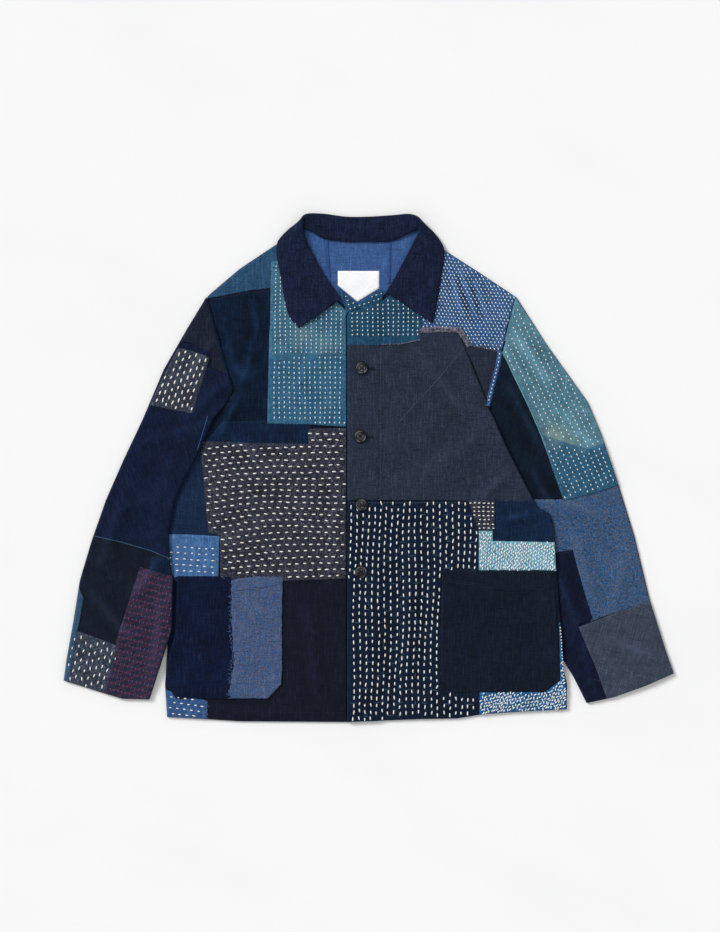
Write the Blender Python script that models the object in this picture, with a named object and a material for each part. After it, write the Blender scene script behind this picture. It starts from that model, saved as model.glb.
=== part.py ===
"""Patched boro jacket, laid flat with its back down.

The garment lies in the XY plane with its collar towards +Y, its hem towards -Y and its
left side towards +X. The underside of the back is the plane z = 0, and the origin is
below the middle of the outline. Sizes are in millimetres and become metres in the mesh.
"""

import bmesh
import bpy
import numpy as np

MM = 0.001

# Cloth thicknesses and the gaps between layers
WALL = 2.0
SEAM = 0.3
LINING_WALL = 1.2
LABEL_WALL = 1.0
FACING_WALL = 1.2
POCKET_WALL = 1.6
POCKET_GAP = 0.6
SLEEVE_WALL = 1.9
SLEEVE_HEIGHT = 4.6
SLEEVE_NOSE = 0.3
COLLAR_WALL = 2.0
COLLAR_ROLL = 1.6
COLLAR_BOW = 0.5

# Heights that follow from them
FRONT_LEVEL = WALL + SEAM
FRONT_TOP = FRONT_LEVEL + WALL
PLACKET_STEP = WALL + SEAM
PLACKET_TOP = FRONT_TOP + PLACKET_STEP

# How far a layer takes to climb onto the one below it, and the rows where the climb starts
RAMP = 30.0
CLIMB = 5.0
CLIMB_ROWS = 28.0
BODY_CLIMB_TOP = 88.0
SLEEVE_CLIMB_TOP = 94.0

# Fold of the left front over its own armhole side, and the rows where it runs out
FOLD_HEIGHT = 3.5
FOLD_REACH = 28.0
FOLD_DROP = 4.0
FOLD_TOP = 176.0
FOLD_TOP_REACH = 30.0
FOLD_FOOT = 50.0
FOLD_FOOT_REACH = 38.0

# Fastening
PLACKET_EDGE = -31.0
UNDERLAP_EDGE = 7.5
PLACKET_STEP_START = 9.5
PLACKET_STEP_REACH = 12.0
BUTTON_RADIUS = 9.0
BUTTON_HEIGHT = 3.2
BUTTON_FOOT = 1.5
BUTTON_BEVEL = 0.8
BUTTON_RIM = 1.2
BUTTON_DISH = 0.9
BUTTON_HOLE = 1.0
BUTTON_HOLE_PITCH = 2.2
BUTTONS = ((-10.0, 142.0), (-12.0, 45.0), (-10.0, -52.0), (-11.0, -147.0))

# Side edges of the body, top to bottom: y, x
BODY_LEFT = (
    (319, -129), (283, -183), (243, -230), (108, -192), (90, -202), (57, -234),
    (26, -252), (-17, -272), (-52, -285), (-88, -288), (-130, -288), (-187, -286),
    (-244, -285), (-309, -289), (-356, -286),
)
BODY_RIGHT = (
    (319, 92), (311, 105), (277, 158), (243, 209), (88, 169), (68, 179), (33, 194),
    (13, 204), (-55, 239), (-64, 257), (-88, 263), (-130, 265), (-188, 269),
    (-238, 273), (-289, 276), (-315, 281), (-356, 281),
)
# Hem, right side to left side: x, y
HEM = (
    (-286, -353), (-230, -356), (-183, -359), (-31, -360), (73, -356), (125, -355),
    (162, -349), (222, -345), (281, -342),
)
HEM_START = -245.0
BODY_ROWS = (
    319, 300, 283, 262, 243, 225, 206, 187, 168, 148, 128, 108, 88, 68, 50, 33, 13,
    -10, -33, -55, -72, -95, -130, -170, -210, -245, -280, -310, -335, -356,
)
# Distances of the columns from a panel's side edges
EDGE_STOPS = (0, 6, 12, 20, 29, 40, 56)
RIGHT_SIDE_STOPS = (0, 8, 20, 40)
UNDERLAP_STOPS = (0, 38, 60)
PLACKET_STOPS = (0, 20, 40, 46, 54)

# Neck and centre edges of the fronts: y, x
FRONT_RIGHT_NECK = (
    (319, -98), (300, -88), (283, -79), (262, -64), (243, -51), (225, -33),
    (206, -8), (196, UNDERLAP_EDGE), (-356, UNDERLAP_EDGE),
)
FRONT_LEFT_NECK = (
    (319, 74), (300, 62), (283, 53), (262, 40), (243, 27), (231, 0), (222, -28),
    (217, PLACKET_EDGE), (-356, PLACKET_EDGE),
)
# Line of the big fold in the left front: x, y
FOLD_LINE = ((134, 178), (148, 143), (171, 87), (194, 33), (204, 13), (239, -55))

# Sleeve edges from the shoulder down: x, y
SLEEVE_RIGHT_OUTER = (
    (-230, 243), (-259, 196), (-291, 140), (-321, 69), (-348, 12), (-373, -45),
    (-393, -102), (-410, -159), (-419, -216), (-429, -272), (-433, -301),
)
SLEEVE_RIGHT_INNER = (
    (-192, 108), (-211, 86), (-226, 69), (-240, 26), (-259, -10), (-275, -45),
    (-283, -88), (-282, -130), (-277, -157), (-279, -230), (-287, -255), (-311, -328),
)
SLEEVE_RIGHT_CUFF = ((-433, -301), (-376, -319), (-349, -327), (-311, -328))
SLEEVE_LEFT_OUTER = (
    (209, 243), (253, 175), (311, 94), (330, 49), (351, -12), (377, -96),
    (399, -187), (422, -260), (433, -291),
)
SLEEVE_LEFT_INNER = (
    (169, 88), (181, 69), (190, 33), (198, 9), (226, -55), (252, -109), (256, -187),
    (266, -244), (276, -272), (291, -297), (309, -333),
)
SLEEVE_LEFT_CUFF = ((433, -291), (392, -309), (347, -325), (309, -333))
SLEEVE_STOPS = (0, 5, 12, 22, 34)
SLEEVE_RINGS = 16

# Collar from its -X tip round the back of the neck.
# Columns: roll x, y, z; neck seam x, y, z; free edge x, y, z
COLLAR = (
    (-40, 239, 7.3, -52, 233, 5.7, -99, 198, 5.7),
    (-54, 260, 7.3, -71, 249, 5.7, -113, 216, 5.7),
    (-68, 281, 7.3, -86, 270, 5.7, -120, 242, 5.7),
    (-79, 302, 7.4, -97, 291, 5.7, -125, 272, 5.7),
    (-88, 321, 8.0, -101, 313, 5.7, -130, 300, 5.8),
    (-93, 337, 11.0, -99, 327, 5.6, -129, 321, 5.9),
    (-94, 350, 14.0, -91, 338, 5.5, -111, 340, 4.0),
    (-88, 359, 11.0, -80, 335, 5.3, -95, 342, 1.8),
    (-65, 360, 5.0, -62, 325, 5.0, -67, 333, 1.4),
    (-32, 356, 3.3, -32, 321, 4.9, -32, 330, 1.3),
    (-1, 356, 3.3, -2, 321, 4.9, -2, 330, 1.3),
    (33, 358, 3.5, 32, 322, 4.9, 32, 331, 1.3),
    (60, 359, 9.0, 58, 333, 5.2, 65, 339, 1.6),
    (73, 349, 13.5, 71, 338, 5.5, 88, 337, 3.6),
    (69, 330, 9.5, 78, 324, 5.7, 105, 316, 5.9),
    (59, 310, 7.6, 74, 301, 5.7, 107, 297, 5.7),
    (47, 287, 7.3, 64, 279, 5.7, 103, 272, 5.7),
    (36, 267, 7.3, 52, 256, 5.7, 98, 239, 5.7),
    (25, 249, 7.3, 36, 241, 5.7, 91, 205, 5.7),
)
COLLAR_STATIONS = 37

# Blue inner back in the neck opening: y, left x, right x
LINING = (
    (318, -94, 71), (300, -85, 59), (283, -76, 50), (262, -60, 37), (247, -50, 24),
    (238, -43, 8), (231, -34, -10),
)
# Small flat pieces as outlines: x, y
LABEL = ((-44, 280), (15, 280), (15, 255), (-16, 236), (-44, 259))
FACING = (
    (-43, 256), (-16, 232), (19, 254), (20, 241), (13, 233), (3, 228), (-18, 225),
    (-31, 219), (-37, 238),
)

# Patch pockets: y, left x, right x
POCKET_RIGHT = (
    (-153, -272, -121), (-193, -273, -122), (-228, -273, -122), (-260, -282, -122),
    (-285, -287, -122), (-306, -287, -123), (-327, -273, -143),
)
POCKET_LEFT = (
    (-144, 103, 261), (-175, 103, 264), (-206, 102, 266), (-250, 102, 269),
    (-280, 101, 271), (-300, 103, 272), (-318, 121, 249),
)
POCKET_COLUMNS = 12

# Colours of the cloth where it shows most, as linear values
NAVY = (0.010, 0.017, 0.040)
DEEP_NAVY = (0.011, 0.016, 0.035)
CHARCOAL = (0.022, 0.030, 0.054)
TEAL = (0.064, 0.160, 0.223)
LINING_BLUE = (0.040, 0.093, 0.250)
WHITE = (0.87, 0.88, 0.90)
HORN = (0.020, 0.016, 0.015)


def clear_scene() -> None:
    """Remove every object that the scene starts with."""
    for obj in list(bpy.data.objects):
        bpy.data.objects.remove(obj)


def cloth(name: str, colour: tuple, roughness: float = 0.9) -> bpy.types.Material:
    """A Principled material of one colour."""
    material = bpy.data.materials.new(name)
    material.use_nodes = True
    shader = material.node_tree.nodes["Principled BSDF"]
    shader.inputs["Base Color"].default_value = (*colour, 1.0)
    shader.inputs["Roughness"].default_value = roughness
    shader.inputs["Metallic"].default_value = 0.0
    return material


def add_object(name: str, points: np.ndarray, faces: list, material) -> bpy.types.Object:
    """Make a mesh object from points in millimetres, with its faces turned outwards."""
    mesh = bpy.data.meshes.new(name)
    mesh.from_pydata((np.asarray(points) * MM).tolist(), [], faces)
    edit = bmesh.new()
    edit.from_mesh(mesh)
    bmesh.ops.recalc_face_normals(edit, faces=edit.faces)
    edit.to_mesh(mesh)
    edit.free()
    mesh.shade_smooth()
    mesh.set_sharp_from_angle(angle=0.6)
    mesh.materials.append(material)
    obj = bpy.data.objects.new(name, mesh)
    bpy.context.scene.collection.objects.link(obj)
    return obj


def ease(value):
    """Smooth step from 0 to 1 while value goes from 0 to 1."""
    t = np.clip(value, 0.0, 1.0)
    return t * t * (3.0 - 2.0 * t)


def edge_at(table, y):
    """x of a side edge at each y, from a table that runs from the top down."""
    rows = np.array(table, float)[::-1]
    return np.interp(y, rows[:, 0], rows[:, 1])


def side_of(x, y, line):
    """Distance to a line of points, positive on the +X side of a line that runs down."""
    points = np.array(line, float)
    nearest = np.full(np.shape(x), np.inf)
    signed = np.zeros(np.shape(x))
    for start, end in zip(points[:-1], points[1:]):
        step = end - start
        along = ((x - start[0]) * step[0] + (y - start[1]) * step[1]) / (step @ step)
        along = np.clip(along, 0.0, 1.0)
        away_x = x - start[0] - along * step[0]
        away_y = y - start[1] - along * step[1]
        distance = np.hypot(away_x, away_y)
        side = np.sign(step[0] * (y - start[1]) - step[1] * (x - start[0]))
        closer = distance < nearest
        nearest = np.where(closer, distance, nearest)
        signed = np.where(closer, distance * side, signed)
    return signed


def strip(first, second) -> list:
    """Triangles between two rows of vertex numbers of the same length."""
    faces = []
    for k in range(len(first) - 1):
        faces.append((first[k], first[k + 1], second[k + 1]))
        faces.append((first[k], second[k + 1], second[k]))
    return faces


def sheet(name: str, upper: np.ndarray, lower: np.ndarray, material) -> bpy.types.Object:
    """Closed sheet between two grids of points that have the same rows and columns."""
    rows, columns = upper.shape[:2]
    top = np.arange(rows * columns).reshape(rows, columns)
    bottom = top + rows * columns
    faces = []
    for row in range(rows - 1):
        faces += strip(top[row].tolist(), top[row + 1].tolist())
    faces += [(a + rows * columns, c + rows * columns, b + rows * columns) for a, b, c in faces]
    faces += strip(around(top), around(bottom))
    points = np.concatenate([upper.reshape(-1, 3), lower.reshape(-1, 3)])
    return add_object(name, points, faces, material)


def around(grid: np.ndarray) -> list:
    """Vertex numbers round the border of a grid, back to the first."""
    border = np.concatenate([grid[0, :-1], grid[:-1, -1], grid[-1, :0:-1], grid[::-1, 0]])
    return border.tolist()


def stops_across(width, from_left, middle, from_right):
    """Distances from the left edge: fixed ones near both edges, even ones between."""
    span = max(from_left) + max(from_right)
    scale = np.minimum(1.0, 0.8 * width / span)[:, None]
    left = np.array(from_left, float)[None, :] * scale
    right = width[:, None] - np.array(from_right, float)[::-1][None, :] * scale
    share = np.linspace(0.0, 1.0, middle + 2)[1:-1][None, :]
    between = left[:, -1:] + (right[:, :1] - left[:, -1:]) * share
    return np.concatenate([left, between, right], axis=1)


def body_plan(rows, left_table, right_table, from_left, middle, from_right):
    """Plan points of a body panel, row by row, with the hem's curve at the bottom."""
    y = np.array(rows, float)
    left = edge_at(left_table, y)
    width = edge_at(right_table, y) - left
    x = left[:, None] + stops_across(width, from_left, middle, from_right)
    hem = np.array(HEM, float)
    stretch = (np.interp(x, hem[:, 0], hem[:, 1]) - HEM_START) / (y[-1] - HEM_START)
    rows_y = np.broadcast_to(y[:, None], x.shape)
    rows_y = np.where(rows_y < HEM_START, HEM_START + (rows_y - HEM_START) * stretch, rows_y)
    return x, rows_y


def back_level(x, y):
    """Underside of the back: on the floor, and over the left sleeve along that side."""
    over = ease((side_of(x, y, SLEEVE_LEFT_INNER) + RAMP) / RAMP)
    return CLIMB * over * ease((BODY_CLIMB_TOP - y) / CLIMB_ROWS)


def fold_level(x, y):
    """Height that the big fold adds to the left front."""
    outside = side_of(x, y, FOLD_LINE)
    rise = ease(1.0 + outside / FOLD_REACH)
    drop = ease(1.0 - outside / FOLD_DROP)
    ends = ease((FOLD_TOP - y) / FOLD_TOP_REACH) * ease((y - FOLD_FOOT) / FOLD_FOOT_REACH)
    return FOLD_HEIGHT * np.where(outside < 0.0, rise, drop) * ends


def front_left_level(x, y):
    """Underside of the left front, which also climbs onto the right front."""
    step = PLACKET_STEP * (1.0 - ease((x - PLACKET_STEP_START) / PLACKET_STEP_REACH))
    return back_level(x, y) + FRONT_LEVEL + step + fold_level(x, y)


def sleeve_right_level(x, y):
    """Underside of the right sleeve: on the floor, and over the body along its side."""
    hidden_side = [(edge, row) for row, edge in BODY_LEFT[3:]]
    over = ease((side_of(x, y, hidden_side) + RAMP) / RAMP)
    return CLIMB * over * ease((SLEEVE_CLIMB_TOP - y) / CLIMB_ROWS)


def sleeve_left_level(x, y):
    """Underside of the left sleeve, which lies on the floor throughout."""
    return np.zeros(np.shape(x))


def layer(x, y, z):
    """Grid of points from plan grids and a height."""
    return np.stack([x, y, np.broadcast_to(z, x.shape)], axis=-1)


def make_panel(name, plan, level, wall, material):
    """A cloth panel of one thickness above its underside."""
    x, y = plan
    under = level(x, y)
    return sheet(name, layer(x, y, under + wall), layer(x, y, under), material)


def make_body() -> None:
    """The back and the two fronts."""
    back = body_plan(BODY_ROWS, BODY_LEFT, BODY_RIGHT, RIGHT_SIDE_STOPS, 4, EDGE_STOPS)
    make_panel("back", back, back_level, WALL, cloth("back_cloth", NAVY))

    right = body_plan(
        BODY_ROWS, BODY_LEFT, FRONT_RIGHT_NECK, RIGHT_SIDE_STOPS, 3, UNDERLAP_STOPS
    )
    make_panel(
        "front_right", right, lambda x, y: np.full(x.shape, FRONT_LEVEL), WALL,
        cloth("front_right_cloth", CHARCOAL),
    )
    left = body_plan(BODY_ROWS, FRONT_LEFT_NECK, BODY_RIGHT, PLACKET_STOPS, 3, EDGE_STOPS)
    make_panel("front_left", left, front_left_level, WALL, cloth("front_left_cloth", CHARCOAL))


def curve(points, share):
    """Points at shares of a line's length."""
    line = np.array(points, float)
    steps = np.hypot(*np.diff(line, axis=0).T)
    lengths = np.concatenate([[0.0], np.cumsum(steps)]) / steps.sum()
    return np.stack([np.interp(share, lengths, line[:, k]) for k in range(2)], axis=-1)


def spanned(top, bottom, left, right, across, along):
    """Plan points of a surface spanned between four edge lines."""
    start = curve(top, across)
    end = curve(bottom, across)
    side_a = curve(left, along)[:, None]
    side_b = curve(right, along)[:, None]
    u = across[..., None]
    v = along[:, None, None]
    ruled = (1 - v) * start + v * end + (1 - u) * side_a + u * side_b
    corners = [np.array(p, float) for p in (top[0], top[-1], bottom[0], bottom[-1])]
    bilinear = (1 - u) * (1 - v) * corners[0] + u * (1 - v) * corners[1]
    bilinear = bilinear + (1 - u) * v * corners[2] + u * v * corners[3]
    return ruled - bilinear


def make_sleeve(name, outer, inner, cuff, level, seam_shift, material):
    """A flattened tube of cloth, open at the armhole and at the cuff."""
    outer = ((outer[0][0] + seam_shift, outer[0][1]), *outer[1:])
    inner = ((inner[0][0] + seam_shift, inner[0][1]), *inner[1:])
    armhole = (outer[0], inner[0])
    along = np.linspace(0.0, 1.0, SLEEVE_RINGS)
    ends = curve(outer, along) - curve(inner, along)
    width = np.hypot(ends[:, 0], ends[:, 1])
    across = stops_across(width, SLEEVE_STOPS[:3], 2, SLEEVE_STOPS)
    across = across / width[:, None]
    inset = (SLEEVE_WALL + SEAM) / width[:, None]
    loops = []
    for share, skin in ((across, 0.0), (np.clip(across, inset, 1.0 - inset), SLEEVE_WALL)):
        plan = spanned(armhole, cuff, outer, inner, share, along)
        x, y = plan[..., 0], plan[..., 1]
        base = level(x, y)
        nose = np.zeros(x.shape)
        nose[:, [0, -1]] = SLEEVE_NOSE * (SLEEVE_HEIGHT - 2.0 * skin)
        lower = layer(x, y, base + skin + nose)
        upper = layer(x, y, base + SLEEVE_HEIGHT - skin - nose)
        loops.append(np.concatenate([lower, upper[:, ::-1]], axis=1))
    return tube(name, loops[0], loops[1], material)


def tube(name, outside, inside, material):
    """Closed body between two nested rings of points, repeated along a sleeve."""
    rings, count = outside.shape[:2]
    faces = []
    for start in (0, rings * count):
        grid = start + np.arange(rings * count).reshape(rings, count)
        grid = np.concatenate([grid, grid[:, :1]], axis=1).tolist()
        for ring in range(rings - 1):
            faces += strip(grid[ring], grid[ring + 1])
    for ring in (0, rings - 1):
        outer_ring = (ring * count + np.arange(count + 1) % count).tolist()
        inner_ring = (rings * count + ring * count + np.arange(count + 1) % count).tolist()
        faces += strip(outer_ring, inner_ring)
    points = np.concatenate([outside.reshape(-1, 3), inside.reshape(-1, 3)])
    return add_object(name, points, faces, material)


def make_sleeves() -> None:
    """Both sleeves, each a seam's width from the armhole of the body."""
    make_sleeve(
        "sleeve_right", SLEEVE_RIGHT_OUTER, SLEEVE_RIGHT_INNER, SLEEVE_RIGHT_CUFF,
        sleeve_right_level, -1.5 * SEAM, cloth("sleeve_right_cloth", NAVY),
    )
    make_sleeve(
        "sleeve_left", SLEEVE_LEFT_OUTER, SLEEVE_LEFT_INNER, SLEEVE_LEFT_CUFF,
        sleeve_left_level, 1.5 * SEAM, cloth("sleeve_left_cloth", TEAL),
    )


def spline(values: np.ndarray, count: int) -> np.ndarray:
    """Smooth rows through every row of a table, count of them."""
    rows = np.concatenate([2 * values[:1] - values[1:2], values, 2 * values[-1:] - values[-2:-1]])
    place = np.linspace(0.0, len(values) - 1.0, count)
    index = np.minimum(place.astype(int), len(values) - 2)
    t = (place - index)[:, None]
    a, b, c, d = (rows[index + k] for k in range(4))
    turn = (c - a) * t + (2 * a - 5 * b + 4 * c - d) * t**2 + (3 * b - a - 3 * c + d) * t**3
    return b + 0.5 * turn


def unit(vectors: np.ndarray) -> np.ndarray:
    """Vectors of length one."""
    return vectors / np.linalg.norm(vectors, axis=-1, keepdims=True)


def square_to(axis: np.ndarray, direction: np.ndarray) -> np.ndarray:
    """Directions turned square to an axis, of length one."""
    return unit(direction - (direction * axis).sum(axis=-1, keepdims=True) * axis)


def make_collar() -> None:
    """Stand and fall of the collar as one folded sheet.

    Each section runs from the neck seam up the stand, round the roll line and down the fall.
    """
    table = spline(np.array(COLLAR, float), COLLAR_STATIONS)
    roll, seam, edge = table[:, 0:3], table[:, 3:6], table[:, 6:9]
    along = unit(np.gradient(roll, axis=0))
    inward = unit(square_to(along, seam - roll) + square_to(along, edge - roll))
    outward = np.cross(along, inward)
    centre = roll + COLLAR_ROLL * inward
    start = centre - COLLAR_ROLL * outward
    end = centre + COLLAR_ROLL * outward
    bow = COLLAR_BOW * np.clip(outward[:, 2:3], 0.0, 1.0) * outward
    middle = [seam, 0.5 * (seam + start)]
    ahead = [start - seam, start - seam]
    for degrees in (-90, -45, 0, 45, 90):
        angle = np.radians(degrees)
        middle.append(centre + COLLAR_ROLL * (outward * np.sin(angle) - inward * np.cos(angle)))
        ahead.append(outward * np.cos(angle) + inward * np.sin(angle))
    middle += [0.55 * end + 0.45 * edge + bow, edge]
    ahead += [edge - end, edge - end]
    surface = np.stack(middle, axis=1)
    normal = unit(np.cross(np.gradient(surface, axis=0), np.stack(ahead, axis=1)))
    half = 0.5 * COLLAR_WALL * normal
    sheet("collar", surface + half, surface - half, cloth("collar_cloth", DEEP_NAVY))


def row_plan(table, columns):
    """Plan points of a piece from rows of y, left x and right x."""
    rows = np.array(table, float)
    share = np.linspace(0.0, 1.0, columns)[None, :]
    x = rows[:, 1:2] + (rows[:, 2:3] - rows[:, 1:2]) * share
    return x, np.broadcast_to(rows[:, :1], x.shape)


def make_flat_piece(name, outline, level, wall, material):
    """A flat piece from its outline."""
    count = len(outline)
    points = [(x, y, level) for x, y in outline] + [(x, y, level + wall) for x, y in outline]
    faces = [list(range(count))[::-1], list(range(count, 2 * count))]
    for k in range(count):
        after = (k + 1) % count
        faces.append([k, after, count + after, count + k])
    return add_object(name, np.array(points), faces, material)


def make_neck_pieces() -> None:
    """Lining, plain label and the turned facing of the neck."""
    make_panel(
        "back_lining", row_plan(LINING, 4), lambda x, y: np.full(x.shape, WALL + SEAM),
        LINING_WALL, cloth("lining_cloth", LINING_BLUE),
    )
    label_level = WALL + LINING_WALL + 2 * SEAM
    make_flat_piece("label", LABEL, label_level, LABEL_WALL, cloth("label_cloth", WHITE, 0.7))
    facing_level = PLACKET_TOP + SEAM
    make_flat_piece("neck_facing", FACING, facing_level, FACING_WALL, cloth("facing_cloth", TEAL))


def make_pockets() -> None:
    """One patch pocket on each front, open at the top."""
    make_panel(
        "pocket_right", row_plan(POCKET_RIGHT, POCKET_COLUMNS),
        lambda x, y: np.full(x.shape, FRONT_TOP + SEAM), POCKET_WALL,
        cloth("pocket_right_cloth", DEEP_NAVY),
    )
    make_panel(
        "pocket_left", row_plan(POCKET_LEFT, POCKET_COLUMNS),
        lambda x, y: front_left_level(x, y) + WALL + POCKET_GAP, POCKET_WALL,
        cloth("pocket_left_cloth", NAVY),
    )


def button_mesh() -> tuple:
    """Turned disc with a raised rim and a shallow dish: points and faces about z."""
    radius, height = BUTTON_RADIUS, BUTTON_HEIGHT
    inner = radius - BUTTON_BEVEL - BUTTON_RIM
    profile = (
        (radius - BUTTON_FOOT, 0.0), (radius, BUTTON_FOOT), (radius, height - BUTTON_BEVEL),
        (radius - BUTTON_BEVEL, height), (inner, height), (inner - BUTTON_RIM, height - BUTTON_DISH),
    )
    steps = 24
    angles = np.arange(steps) * 2.0 * np.pi / steps
    rings = [
        np.stack([r * np.cos(angles), r * np.sin(angles), np.full(steps, z)], axis=1)
        for r, z in profile
    ]
    faces = []
    for ring in range(len(profile) - 1):
        first = [ring * steps + k % steps for k in range(steps + 1)]
        faces += strip(first, [number + steps for number in first])
    faces.append(list(range(steps))[::-1])
    faces.append(list(range((len(profile) - 1) * steps, len(profile) * steps)))
    return np.concatenate(rings), faces


def add_hole_cutter(name: str, x: float, y: float, level: float) -> bpy.types.Object:
    """Four thin pegs that cut a button's sewing holes."""
    mesh = bpy.data.meshes.new(name)
    edit = bmesh.new()
    for side_x in (-1, 1):
        for side_y in (-1, 1):
            made = bmesh.ops.create_cone(
                edit, cap_ends=True, segments=10, radius1=BUTTON_HOLE * MM,
                radius2=BUTTON_HOLE * MM, depth=4 * BUTTON_HEIGHT * MM,
            )
            shift = (side_x * BUTTON_HOLE_PITCH * MM, side_y * BUTTON_HOLE_PITCH * MM, 0.0)
            bmesh.ops.translate(edit, verts=made["verts"], vec=shift)
    edit.to_mesh(mesh)
    edit.free()
    cutter = bpy.data.objects.new(name, mesh)
    cutter.location = (x * MM, y * MM, level * MM)
    cutter.hide_render = True
    cutter.display_type = "WIRE"
    bpy.context.scene.collection.objects.link(cutter)
    return cutter


def make_buttons() -> None:
    """Four buttons down the placket."""
    points, faces = button_mesh()
    level = PLACKET_TOP + SEAM
    material = cloth("button_horn", HORN, 0.3)
    for number, (x, y) in enumerate(BUTTONS, start=1):
        button = add_object(f"button_{number}", points, faces, material)
        button.location = (x * MM, y * MM, level * MM)
        cutter = add_hole_cutter(f"button_{number}_holes", x, y, level)
        holes = button.modifiers.new("sewing_holes", "BOOLEAN")
        holes.operation = "DIFFERENCE"
        holes.solver = "EXACT"
        holes.object = cutter


def main() -> None:
    clear_scene()
    make_body()
    make_sleeves()
    make_collar()
    make_neck_pieces()
    make_pockets()
    make_buttons()


main()
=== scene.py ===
"""Looks of a patched boro jacket that lies flat with its front up.

The maker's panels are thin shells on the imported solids. Each patch of the outer cloth is a
piece of its own on the panel that carries it, and every hand stitch is a short raised bar of
thread. Lengths in this file are millimetres until a mesh is filled: X runs to the wearer's
left, Y to the collar and Z up.
"""

from __future__ import annotations

import logging
from dataclasses import dataclass, field, replace
from enum import Enum
from typing import Callable

import bmesh
import bpy
import numpy as np
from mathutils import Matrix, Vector
from mathutils.geometry import delaunay_2d_cdt


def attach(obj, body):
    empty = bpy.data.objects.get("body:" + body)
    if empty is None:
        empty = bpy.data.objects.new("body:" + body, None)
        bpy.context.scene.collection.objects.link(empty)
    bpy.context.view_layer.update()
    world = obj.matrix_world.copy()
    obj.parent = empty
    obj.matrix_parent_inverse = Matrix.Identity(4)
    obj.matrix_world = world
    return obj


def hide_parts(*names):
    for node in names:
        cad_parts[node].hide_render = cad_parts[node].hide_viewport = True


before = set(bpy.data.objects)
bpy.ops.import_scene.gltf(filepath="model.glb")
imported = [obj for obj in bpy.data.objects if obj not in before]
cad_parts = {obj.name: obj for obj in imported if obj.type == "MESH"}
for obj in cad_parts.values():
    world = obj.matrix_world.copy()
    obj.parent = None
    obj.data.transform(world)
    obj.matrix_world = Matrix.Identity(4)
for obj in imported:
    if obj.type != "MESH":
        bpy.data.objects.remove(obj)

LOG = logging.getLogger("boro_jacket")
MM = 0.001
Points = list[tuple[float, float]]
Height = Callable[[np.ndarray, np.ndarray], np.ndarray]


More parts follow.
